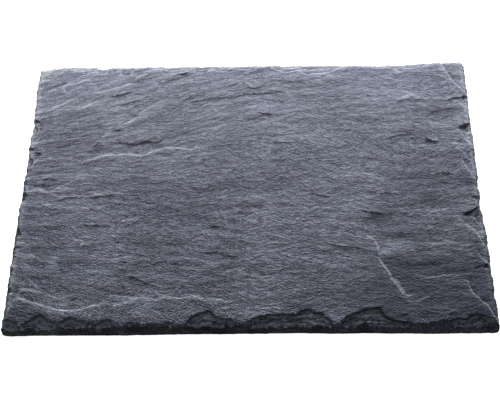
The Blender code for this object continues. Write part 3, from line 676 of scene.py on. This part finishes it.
def wall_ring(rim, out, share, place):
    """One ring of the wall, at a share of the rim's height, with the slate's layers standing in and out."""
    height = rim[:, 2] * share
    bulge = BELLY_OUT * (1 - abs(2 * share - 1)) - UNDERCUT * max(1 - 2 * share, 0) ** 1.5
    layers = 0.16 * noise(place / 9, height / 0.55, 71) + 0.10 * noise(place / 2.5, height / 1.1, 72)
    stand_out = (bulge + layers * min(4 * (1 - share), 1)) * rim[:, 2] / RIM
    return np.column_stack([rim[:, :2] + out * stand_out[:, None], height])


def base_points(top, plain_x, plain_y):
    """The underside's points, below some of the top's and drawn in at the border by the undercut."""
    out_x, out_y = outward(plain_x, plain_y)
    undercut = UNDERCUT / RIM * top[:, 2]
    x = top[:, 0] - out_x * undercut
    y = top[:, 1] - out_y * undercut
    return np.column_stack([x, y, base_face(x, y)])


def side_chip(inset, place, chips, seed):
    """Whether a point is on the small chips along a side's rim, which take the walls' painted shade."""
    teeth = noise(place / 1.6, 0.5, seed) + 0.6 * noise(place / 7, 0.5, seed + 1)
    return inset < read_line(chips, place) * (0.35 + 1.6 * teeth)


def top_materials(x, y, front, grid_shape):
    """The material of each of the top face's grid squares."""
    scooped = (front.inside > 0.1) & (front.flaked > 0.3)
    chips = 0.85 * (1 + 0.3 * noise(x / 1.4, y / 2, 85))
    dressed = y + HALF_WIDTH < face_width(FRONT_FACE, x, FRONT_SEED) * chips
    left = side_chip(x + HALF_LENGTH, y, LEFT_CHIPS, 81)
    right = side_chip(HALF_LENGTH - x, y, RIGHT_CHIPS, 83)
    dark = (dressed | left | right).reshape(grid_shape)
    scooped = scooped.reshape(grid_shape)
    chosen = np.where(scooped[1:, 1:] & scooped[:-1, :-1], SCOOPED, RIVEN)
    return np.where(dark[1:, 1:] & dark[:-1, :-1], BROKEN, chosen).ravel()


def slab_shape():
    """The slab's points and faces, and what its materials need to know of them."""
    lines_x = grid_lines(HALF_LENGTH, EDGE_BAND, EDGE_GRID, GRID_ALONG)
    lines_y = grid_lines(HALF_WIDTH, FRONT_BAND, FRONT_GRID, GRID_ACROSS)
    plain_x, plain_y = (plane.ravel() for plane in np.meshgrid(lines_x, lines_y))
    x, y = shaped(plain_x, plain_y)
    breaks = edge_breaks(plain_x, plain_y)
    top = np.column_stack([x, y, top_face(x, y) - breaks.fall])

    grid = np.arange(len(top)).reshape(len(lines_y), len(lines_x))
    rim = border(grid)
    strides = np.hypot(*(np.roll(top[rim, :2], -1, axis=0) - top[rim, :2]).T)
    place = np.concatenate([[0.0], np.cumsum(strides)[:-1]])
    out = np.column_stack(outward(plain_x[rim], plain_y[rim]))
    shares = np.linspace(1, 0, WALL_ROWS + 2)[1:-1]
    walls = [wall_ring(top[rim], out, share, place) for share in shares]

    above = grid[::BASE_EVERY, ::BASE_EVERY]
    base = base_points(top[above.ravel()], plain_x[above.ravel()], plain_y[above.ravel()])
    base_first = len(top) + WALL_ROWS * len(rim)
    base_grid = base_first + np.arange(len(base)).reshape(above.shape)

    rings = [rim] + [len(top) + k * len(rim) + np.arange(len(rim)) for k in range(WALL_ROWS)]
    top_squares = grid_faces(grid, upward=True)
    wall_squares = []
    for upper, lower in zip(rings[:-1], rings[1:]):
        wall_squares += band_faces(upper, lower)
    wall_squares += stitch_faces(rings[-1], border(base_grid), BASE_EVERY)
    base_squares = grid_faces(base_grid, upward=False)
    materials = np.concatenate([
        top_materials(plain_x, plain_y, breaks.front, grid.shape),
        np.full(len(wall_squares), BROKEN), np.full(len(base_squares), RIVEN)]).astype(np.int32)
    points = np.concatenate([top] + walls + [base])
    points[:, :2] -= (points[:, :2].min(axis=0) + points[:, :2].max(axis=0)) / 2
    return SimpleNamespace(points=points, faces=top_squares + wall_squares + base_squares,
                           materials=materials, grid_shape=grid.shape, breaks=breaks,
                           place=place, top_count=len(top), base_first=base_first)


def less_its_blur(values, grid_shape, reach):
    """How far each of a grid's values lies above the mean of a square of its neighbours."""
    padded = np.pad(values.reshape(grid_shape), reach, mode="edge")
    sums = np.pad(padded.cumsum(axis=0).cumsum(axis=1), ((1, 0), (1, 0)))
    span = 2 * reach + 1
    total = sums[span:, span:] - sums[:-span, span:] - sums[span:, :-span] + sums[:-span, :-span]
    return values - (total / span ** 2).ravel()


def add_value(mesh, shape, name, top_values, wall_value=0.0, base_values=0.0):
    """Gives each point a value: one each for the top face's, and the wall's and the underside's."""
    values = np.empty(len(shape.points), np.float32)
    values[:shape.top_count] = top_values
    values[shape.top_count:shape.base_first] = wall_value
    values[shape.base_first:] = base_values
    mesh.attributes.new(name, "FLOAT", "POINT").data.foreach_set("value", values)


def add_grain_places(mesh, shape):
    """Where each point lies along and across the slate's grain, for streaks that follow it."""
    points = shape.points
    along = points[:, 0].copy()
    across = grain_across(points[:, 0], points[:, 1])
    walls = slice(shape.top_count, shape.base_first)
    along[walls] = np.tile(shape.place, WALL_ROWS)
    across[walls] = WALL_GRAIN_FROM + 3 * points[walls, 2]
    across[shape.base_first:] += BASE_GRAIN_FROM
    places = np.column_stack([along, across, points[:, 2]]) * MM
    layer = mesh.attributes.new("grain", "FLOAT_VECTOR", "POINT")
    layer.data.foreach_set("vector", places.astype(np.float32).ravel())


def nearest_lines(x, y, lines):
    """The signed gap to the nearest of some lines, and its strength, which fades to 0 at LINE_REACH."""
    gap = np.full(x.shape, LINE_REACH)
    strength = np.zeros(x.shape)
    for power, *line in lines:
        near, to_line, from_end = line_reach(x, y, line, LINE_REACH)
        closer = np.abs(to_line) < np.abs(gap[near])
        chosen = near[closer]
        gap[chosen] = to_line[closer]
        fading = 1 - smooth(np.abs(to_line[closer]), 0.6 * LINE_REACH, LINE_REACH)
        strength[chosen] = power * fading * smooth(from_end[closer], 0, FLAKE_TAPER)
    return gap, strength


def add_marks(mesh, shape):
    """Values that the slate's colour reads: worn ridges, crevices for painted shade, ledge lines for painted
    shadows and highlights, veins, broken slopes, and tone with painted shade.
    """
    x, y, height = shape.points[:shape.top_count].T
    breaks = shape.breaks
    ridge = less_its_blur(height, shape.grid_shape, 2) + 0.5 * less_its_blur(height, shape.grid_shape, 6)
    ragged_x, ragged_y = ragged_places(x, y)
    ledge_gap, ledge_step = nearest_lines(ragged_x, ragged_y, LEDGES + EDGE_FLAKES + FINE_LINES + SCOOP_LINES)
    vein_gap, vein_strength = nearest_lines(x, y, VEINS)
    base_depth = shape.points[shape.base_first:, 2]
    for name, *values in (
            ("ridge", ridge), ("broken", smooth(breaks.fall, 0.05, 0.6), 1.0), ("layer", breaks.front.layer),
            ("front_break", breaks.front.inside, FAR, -FAR), ("side_break", breaks.side, FAR, -FAR),
            ("pale_break", breaks.pale), ("ledge_gap", ledge_gap, FAR, FAR), ("ledge_step", ledge_step),
            ("vein_gap", vein_gap, FAR, FAR), ("vein_strength", vein_strength),
            ("tone", mounds(x, y, TONES_AND_PAINTED_SHADE), 0.0, -BASE_FLAKE_SHADE * base_depth)):
        add_value(mesh, shape, name, *values)


def add_bake_map(mesh, shape):
    """A map with no overlaps: the top face above, the underside below it and the wall in strips beside."""
    points = shape.points
    point_numbers = np.arange(len(points))
    above_base = point_numbers < shape.base_first
    area = np.where(above_base[:, None], TOP_AREA, BASE_AREA)
    flat = area[:, :2] + area[:, 2:] * (points[:, :2] / (LENGTH, WIDTH) + 0.5)
    corner_points = np.empty(len(mesh.loops), np.int32)
    mesh.loops.foreach_get("vertex_index", corner_points)
    face_of_corner = np.repeat(np.arange(len(mesh.polygons)), [face.loop_total for face in mesh.polygons])
    # A wall's face is one that touches a wall ring; its strip is chosen by the side it faces.
    is_wall_point = (point_numbers >= shape.top_count) & above_base
    wall_face = np.zeros(len(mesh.polygons), bool)
    np.logical_or.at(wall_face, face_of_corner, is_wall_point[corner_points])
    centres = np.empty(len(mesh.polygons) * 3, np.float32)
    mesh.polygons.foreach_get("center", centres)
    x, y = (centres.reshape(-1, 3) / MM).T[:2]
    nearer_in_y = HALF_WIDTH - np.abs(y) < HALF_LENGTH - np.abs(x)
    strip = np.where(nearer_in_y, np.where(y < 0, 0, 1), np.where(x < 0, 2, 3))[face_of_corner]
    left, bottom, width, spacing = WALL_STRIPS
    x, y, height = points[corner_points].T
    u = left + width * (np.where(strip < 2, x, y) / LENGTH + 0.5)
    v = bottom + spacing * strip + STRIP_SCALE * np.clip(height, 0, TALLEST)
    places = np.where(wall_face[face_of_corner][:, None], np.column_stack([u, v]), flat[corner_points])
    layer = mesh.uv_layers.new(name="OFBake")
    layer.data.foreach_set("uv", places.astype(np.float32).ravel())


def add_object(name, data):
    made = bpy.data.objects.new(name, data)
    bpy.context.scene.collection.objects.link(made)
    return made


def make_slab():
    shape = slab_shape()
    mesh = bpy.data.meshes.new("riven_slab")
    mesh.from_pydata((shape.points * MM).tolist(), [], shape.faces)
    mesh.shade_smooth()
    add_grain_places(mesh, shape)
    add_marks(mesh, shape)
    add_bake_map(mesh, shape)
    for material in (riven_material(), broken_material(), scooped_material()):
        mesh.materials.append(material)
    mesh.polygons.foreach_set("material_index", shape.materials)
    slab = add_object("riven_slab", mesh)
    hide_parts("slab")
    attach(slab, "root")


# --- Materials ---------------------------------------------------------------------------------
# Values here are sockets of nodes or plain numbers; a socket knows the tree that it belongs to.

def fill(node, inputs):
    for name, value in inputs.items():
        if isinstance(value, bpy.types.NodeSocket):
            node.id_data.links.new(value, node.inputs[name])
        else:
            node.inputs[name].default_value = value


def add_node(tree, kind, inputs=None, **settings):
    """The outputs of a new node."""
    made = tree.nodes.new("ShaderNode" + kind)
    for name, value in settings.items():
        setattr(made, name, value)
    fill(made, inputs or {})
    return made.outputs


def maths(operation, first, *others):
    """An operation on a socket, or over it and other values from left to right."""
    result = first
    for other in others or (0.0,):
        result = add_node(first.id_data, "Math", {0: result, 1: other}, operation=operation)[0]
    return result


def plus(*values):
    return maths("ADD", *values)


def times(*values):
    return maths("MULTIPLY", *values)


def highest(*values):
    return maths("MAXIMUM", *values)


def away(value, centre=0.0):
    """How far a value is from a centre."""
    return maths("ABSOLUTE", maths("SUBTRACT", value, centre))


def remap(value, low, high, new_low=0.0, new_high=1.0, **settings):
    inputs = {"Value": value, "From Min": low, "From Max": high, "To Min": new_low, "To Max": new_high}
    return add_node(value.id_data, "MapRange", inputs, clamp=True, **settings)[0]


def dots(places, scale, detail, **inputs):
    inputs.update(Vector=places, Scale=scale, Detail=detail)
    return add_node(places.id_data, "TexNoise", inputs)["Fac"]


def streaks(places, along, across, detail=3.0, distortion=0.0):
    """Noise drawn out along the grain: along and across are its sizes in millimetres."""
    scale = (1 / (along * MM), 1 / (across * MM), 1 / (across * MM))
    stretched = add_node(places.id_data, "Mapping", {"Vector": places, "Scale": scale})[0]
    return dots(stretched, 1.0, detail, Roughness=0.6, Distortion=distortion)


def treads(places, along, across, levels, riser, detail):
    """Noise cut into level treads: its height, and how near a point is to a tread's lip and to its foot."""
    scaled = times(streaks(places, along, across, detail, distortion=0.5), levels)
    part = maths("FRACT", scaled)
    low = 0.5 - riser / 2
    high = 0.5 + riser / 2
    step = remap(part, low, high, interpolation_type="SMOOTHSTEP")
    height = maths("DIVIDE", plus(maths("SUBTRACT", scaled, part), step), levels)
    return SimpleNamespace(height=height, lip=remap(away(part, high), 0.0, 0.14, 1.0, 0.0),
                           foot=remap(away(part, low), 0.0, 0.12, 1.0, 0.0))


def turned(places, degrees):
    """The same places with the grain turned by some degrees about Z."""
    turn = (0.0, 0.0, np.radians(degrees))
    return add_node(places.id_data, "Mapping", {"Vector": places, "Rotation": turn})[0]


def bent(places, size, amount):
    """The same places bent sideways by up to about half an amount, in swells of a size, both in mm."""
    tree = places.id_data
    swells = add_node(tree, "TexNoise", {"Vector": places, "Scale": 1 / (size * MM), "Detail": 2.0})["Color"]
    centred = add_node(tree, "VectorMath", {0: swells, 1: (0.5, 0.5, 0.5)}, operation="SUBTRACT")[0]
    reach = (amount * MM, amount * MM, 0.0)
    return add_node(tree, "VectorMath", {0: centred, 1: reach, 2: places}, operation="MULTIPLY_ADD")[0]


def new_material(name):
    material = bpy.data.materials.new(name)
    material.use_nodes = True
    return material, material.node_tree, material.node_tree.nodes["Principled BSDF"]


class Slate:
    """The slate that all the slab's faces share: its patterns, its colour so far and its fine relief."""

    def __init__(self, name, specular):
        self.material, self.tree, self.shader = new_material(name)
        self.shader.inputs["Specular IOR Level"].default_value = specular
        self.place = add_node(self.tree, "TexCoord")["Object"]
        self.x, self.y, self.z = add_node(self.tree, "SeparateXYZ", {0: self.place})
        self.make_patterns()
        self.paint()
        self.lift = self.relief()

    def read(self, name, output="Fac"):
        return add_node(self.tree, "Attribute", attribute_name=name)[output]

    def tint(self, colour, *shares):
        """Mixes another colour into the slate's, by the product of some shares."""
        inputs = {0: reduce(times, shares), 6: self.colour, 7: colour}
        self.colour = add_node(self.tree, "Mix", inputs, data_type="RGBA")[2]

    def make_patterns(self):
        grain = bent(self.read("grain", "Vector"), 30, 9)
        self.clouds = dots(self.place, 22.0, 4.0)
        self.patches = streaks(grain, 16, 8, detail=5.0, distortion=0.3)
        self.leaves = treads(grain, 34, 8, 10, 0.08, detail=2.0)
        self.scales = treads(turned(grain, 18), 13, 3.4, 6, 0.10, detail=1.5)
        self.chips = treads(turned(grain, -26), 8, 3, 6, 0.12, detail=2.0)
        self.rising = streaks(turned(grain, 20), 3.8, 0.7, detail=1.0)
        self.falling = streaks(turned(grain, -20), 3.8, 0.7, detail=1.0)
        self.crumbs = times(plus(self.rising, self.falling), 0.5)
        self.specks = dots(self.place, 1400.0, 1.0)
        self.crumbly = dots(self.place, 850.0, 2.0)
        # The slate is calmer towards its back edge, and crumbly rather than streaky near the front one.
        self.grit_share = remap(self.y, -0.10, 0.08, 1.0, 0.55)
        self.crumbly_share = remap(self.y, -0.076, -0.090)

    def paint(self):
        """Clouds and patches, then pale grains and dark pits, then pale lips of the treads and painted shade
        at their feet.
        """
        self.colour = SLATE_DEEP
        self.tint(SLATE_MEAN, remap(self.clouds, 0.35, 0.65))
        # Painted sheen: the slate is painted paler towards its back edge, where the light from behind falls
        # most.
        self.tint(SLATE_PALE, remap(self.y, -0.02, 0.09, 0.0, 0.95))
        self.tint(SLATE_PALE, remap(self.patches, 0.48, 0.68, 0.0, 0.3))
        self.tint(SLATE_DARK, remap(self.patches, 0.48, 0.32, 0.0, 0.3))
        wisps = highest(self.rising, self.falling)
        pits = maths("MINIMUM", self.rising, self.falling)
        for pale, dark, share, colour in (
                (remap(wisps, 0.57, 0.70), remap(pits, 0.44, 0.33), self.grit_share, SLATE_WISP),
                (remap(self.specks, 0.5, 0.65), remap(self.specks, 0.5, 0.35), self.grit_share, SLATE_PALE),
                (remap(self.crumbly, 0.54, 0.66, 0.0, 0.65), remap(self.crumbly, 0.48, 0.36, 0.0, 0.7),
                 self.crumbly_share, SLATE_WISP)):
            self.tint(colour, pale, share)
            self.tint(SLATE_DARK, dark, share)
        self.tint(SLATE_WEAR_AND_HIGHLIGHT,
                  highest(self.leaves.lip, times(self.scales.lip, 0.6), times(self.chips.lip, 0.4)),
                  remap(self.clouds, 0.4, 0.62, 0.2, 1.0), remap(self.crumbs, 0.4, 0.6, 0.3, 1.0),
                  remap(self.y, -0.10, 0.08, 1.0, 0.4))
        # Painted shade at the feet of the treads, where each step's shadow falls.
        self.tint(SLATE_DARK, highest(self.leaves.foot, times(self.scales.foot, 0.8)),
                  remap(self.clouds, 0.58, 0.38, 0.1, 1.0))

    def relief(self):
        cleaved = plus(times(self.leaves.height, 0.8), times(self.scales.height, 0.42),
                       times(self.chips.height, 0.36))
        grit = plus(times(self.crumbs, 0.5), times(self.specks, 0.10))
        return plus(times(cleaved, remap(self.y, -0.02, 0.08, 1.0, 0.75)), times(grit, self.grit_share),
                    times(self.crumbly, self.crumbly_share, 0.5))

    def ledge_lines(self):
        """How near a point is to a dark ledge line, the painted shadow of a step down to the front, and to a
        pale one, a painted highlight and partly wear on a lip facing the back, both jagged and broken by the
        grit.
        """
        wander = remap(self.crumbs, 0.35, 0.65, -0.45, 0.45)
        line = remap(away(plus(self.read("ledge_gap"), wander)), 0.15, 0.65, 1.0, 0.0)
        step = self.read("ledge_step")
        dark = times(line, remap(step, 0.1, 0.4))
        return dark, times(line, remap(step, -0.15, -0.7), remap(self.patches, 0.4, 0.58, 0.45, 1.0))

    def finished(self, roughness, depth):
        """The material, wired up; the depth of its fine relief is in millimetres."""
        relief = {"Height": self.lift, "Strength": 1.0, "Distance": depth * MM}
        fill(self.shader, {"Base Color": self.colour, "Roughness": roughness,
                           "Normal": add_node(self.tree, "Bump", relief)[0]})
        return self.material


def broken_material():
    """The slab's walls: the same slate, duller where it was broken through, and painted near-black as the
    shade that they lie in.
    """
    slate = Slate("slate_broken", specular=0.08)
    # Painted shade: the walls, the dressed front face and the side chips are painted near-black.
    slate.tint(SLATE_BLACK, remap(slate.patches, 0.4, 0.6, 0.9, 0.7))
    # Painted contact shade: the foot of the wall is painted blackest.
    slate.tint(SLATE_BLACK, remap(slate.z, 0.0006, 0.0018, 0.9, 0.0))
    return slate.finished(remap(slate.crumbs, 0.3, 0.7, 0.75, 0.9), depth=0.5)


def scooped_material():
    """The scoops along the front edge: dull brownish slate in layers, with painted black shade along their
    brink, in their creases and along their dark ledge lines.
    """
    slate = Slate("slate_scooped", specular=0.15)
    own_colour = slate.colour
    slate.tint(SLATE_SCOOP, 0.75)
    blotches = streaks(turned(slate.place, -30), 3.5, 1.8, detail=4.0)
    slate.tint(SLATE_FLECK_AND_HIGHLIGHT, remap(blotches, 0.52, 0.68, 0.0, 0.4))
    slate.tint(SLATE_BLACK, remap(blotches, 0.48, 0.36, 0.0, 0.8))
    slate.tint(SLATE_FLECK_AND_HIGHLIGHT, remap(slate.crumbs, 0.5, 0.62), remap(slate.specks, 0.45, 0.6), 0.7)

    # Towards the left end the scoops keep the slate's own colour, a little paler.
    leftward = remap(slate.x, -0.10, -0.04, 1.0, 0.0)
    slate.tint(own_colour, leftward, 0.85)
    slate.tint(SLATE_PALE, leftward, 0.6)

    dark_line, pale_line = slate.ledge_lines()
    # A painted highlight, partly pale lips, along the scoops' pale ledge lines.
    slate.tint(SLATE_FLECK_AND_HIGHLIGHT, pale_line, 0.8)
    # Painted shade: black along the scoops' upper brink, in the creases between their layers, and along their
    # dark ledge lines.
    inside = plus(slate.read("front_break"), remap(slate.crumbs, 0.35, 0.65, -0.4, 0.4))
    brink = remap(inside, 1.0, 0.4, 0.0, 0.85)
    crease = remap(away(maths("FRACT", slate.read("layer")), 0.5), 0.05, 0.16, 0.6, 0.0)
    slate.tint(SLATE_BLACK, highest(brink, crease, dark_line), remap(leftward, 0.0, 1.0, 1.0, 0.9))
    return slate.finished(remap(slate.crumbs, 0.3, 0.7, 0.5, 0.7), depth=1.2)


def riven_material():
    """The cleaved top face and underside."""
    slate = Slate("slate_riven", specular=0.15)
    slate.shader.inputs["Specular Tint"].default_value = SHEEN_TINT
    crumbs = slate.crumbs
    patches = slate.patches

    # Ridges are worn pale away from the front breaks, and hollows are darkened as painted shade.
    ridge = slate.read("ridge")
    inside = slate.read("front_break")
    slate.tint(SLATE_WEAR_AND_HIGHLIGHT, remap(ridge, 0.04, 0.30), remap(slate.specks, 0.35, 0.65, 0.3, 1.0),
               remap(inside, -4.0, -1.5, 0.5, 0.0))
    slate.tint(SLATE_DARK, remap(ridge, -0.05, -0.35, 0.0, 0.7))

    # The edges' breaks: painted shade on all broken slopes and more along the front, wear with a painted
    # highlight along the brink of the sides' breaks, and pale flakes at the back, partly painted sheen.
    slate.tint(SLATE_DARK, slate.read("broken"), 0.3)
    near_break = plus(inside, remap(patches, 0.35, 0.65, -2.0, 2.0), remap(crumbs, 0.35, 0.65, -1.0, 1.0))
    slate.tint(SLATE_DARK, remap(near_break, -4.0, 1.0, 0.0, 0.5))
    slate.tint(SLATE_WEAR_AND_HIGHLIGHT, remap(away(slate.read("side_break")), 0.3, 1.6, 0.6, 0.0),
               remap(patches, 0.42, 0.55), remap(crumbs, 0.4, 0.6))
    slate.tint(SLATE_FLAKE_AND_SHEEN, remap(slate.read("pale_break"), 0.5, 9.0, 0.0, 0.6),
               remap(patches, 0.35, 0.55, 0.3, 1.0))

    tone = slate.read("tone")
    # Darker tone: the slate's own darker patches, and painted shade in the large patches over the right front
    # and along the front edge and in the underside's hollows.
    slate.tint(SLATE_DARK, remap(tone, 0.0, -1.0, 0.0, 0.8))
    dark_line, pale_line = slate.ledge_lines()
    # Painted shadow along the ledge lines that step down to the front, and a painted highlight, partly wear,
    # on the lips that face the back.
    slate.tint(SLATE_BLACK, dark_line, 0.95)
    slate.tint(SLATE_WEAR_AND_HIGHLIGHT, pale_line, 0.7)
    slate.tint(SLATE_BLUISH, remap(tone, 0.0, 1.0), remap(crumbs, 0.35, 0.65, 0.3, 1.0))
    vein_gap = plus(away(slate.read("vein_gap")), remap(crumbs, 0.3, 0.7, 0.5, -0.3))
    slate.tint(VEIN, remap(vein_gap, 0.1, 0.75, 1.0, 0.0), slate.read("vein_strength"))

    # The grit varies the sheen, the back is duller, and a dark line shines more than the rest.
    roughness = plus(remap(crumbs, 0.38, 0.62, 0.52, 0.66), remap(slate.grit_share, 1.0, 0.5, 0.0, 0.14))
    return slate.finished(times(roughness, remap(dark_line, 0.0, 1.0, 1.0, 0.5)), depth=1.4)


def floor_material():
    """A pale floor that is only there from above: from below, the slab's underside shows."""
    material, tree, shader = new_material("pale_floor")
    fill(shader, {"Base Color": (0.9, 0.9, 0.9, 1.0), "Roughness": 0.9, "Specular IOR Level": 0.1,
                  "Emission Color": (1.0, 1.0, 1.0, 1.0), "Emission Strength": FLOOR_GLOW})
    below = add_node(tree, "NewGeometry")["Backfacing"]
    clear = add_node(tree, "BsdfTransparent")[0]
    seen = add_node(tree, "MixShader", {0: below, 1: shader.outputs[0], 2: clear})[0]
    fill(tree.nodes["Material Output"], {"Surface": seen})
    return material


# --- The studio --------------------------------------------------------------------------------

def make_floor():
    half = FLOOR_SIDE / 2
    level = -FLOOR_GAP * MM
    mesh = bpy.data.meshes.new("floor")
    corners = [(-half, -half, level), (half, -half, level), (half, half, level), (-half, half, level)]
    mesh.from_pydata(corners, [], [(0, 1, 2, 3)])
    mesh.materials.append(floor_material())
    floor = add_object("floor", mesh)


def make_camera():
    camera = bpy.data.cameras.new("camera")
    camera.sensor_width = SENSOR
    camera.lens = FOCAL_PIXELS / IMAGE_WIDTH * SENSOR
    camera.clip_start = 0.01
    right = Vector(CAMERA_RIGHT).normalized()
    up = -Vector(CAMERA_DOWN).normalized()
    turn = Matrix((right, up, right.cross(up))).transposed()
    placed = add_object("camera", camera)
    placed.matrix_world = Matrix.Translation(CAMERA_PLACE) @ turn.to_4x4()
    bpy.context.scene.camera = placed


def soft_light(name, place, width, height, power):
    """A rectangular lamp that faces the slab and isn't itself seen."""
    light = bpy.data.lights.new(name, "AREA")
    light.shape = "RECTANGLE"
    light.size = width
    light.size_y = height
    light.energy = power
    placed = add_object(name, light)
    placed.location = place
    placed.rotation_euler = (-Vector(place)).to_track_quat("-Z", "Y").to_euler()
    placed.visible_camera = False


def make_light():
    world = bpy.data.worlds.new("studio")
    world.use_nodes = True
    backdrop = world.node_tree.nodes["Background"]
    backdrop.inputs["Color"].default_value = WORLD_COLOUR
    backdrop.inputs["Strength"].default_value = WORLD_LIGHT
    bpy.context.scene.world = world
    for panel in PANELS:
        soft_light(*panel)
    bpy.context.scene.view_settings.view_transform = "Standard"


make_camera()
make_floor()
make_light()
make_slab()
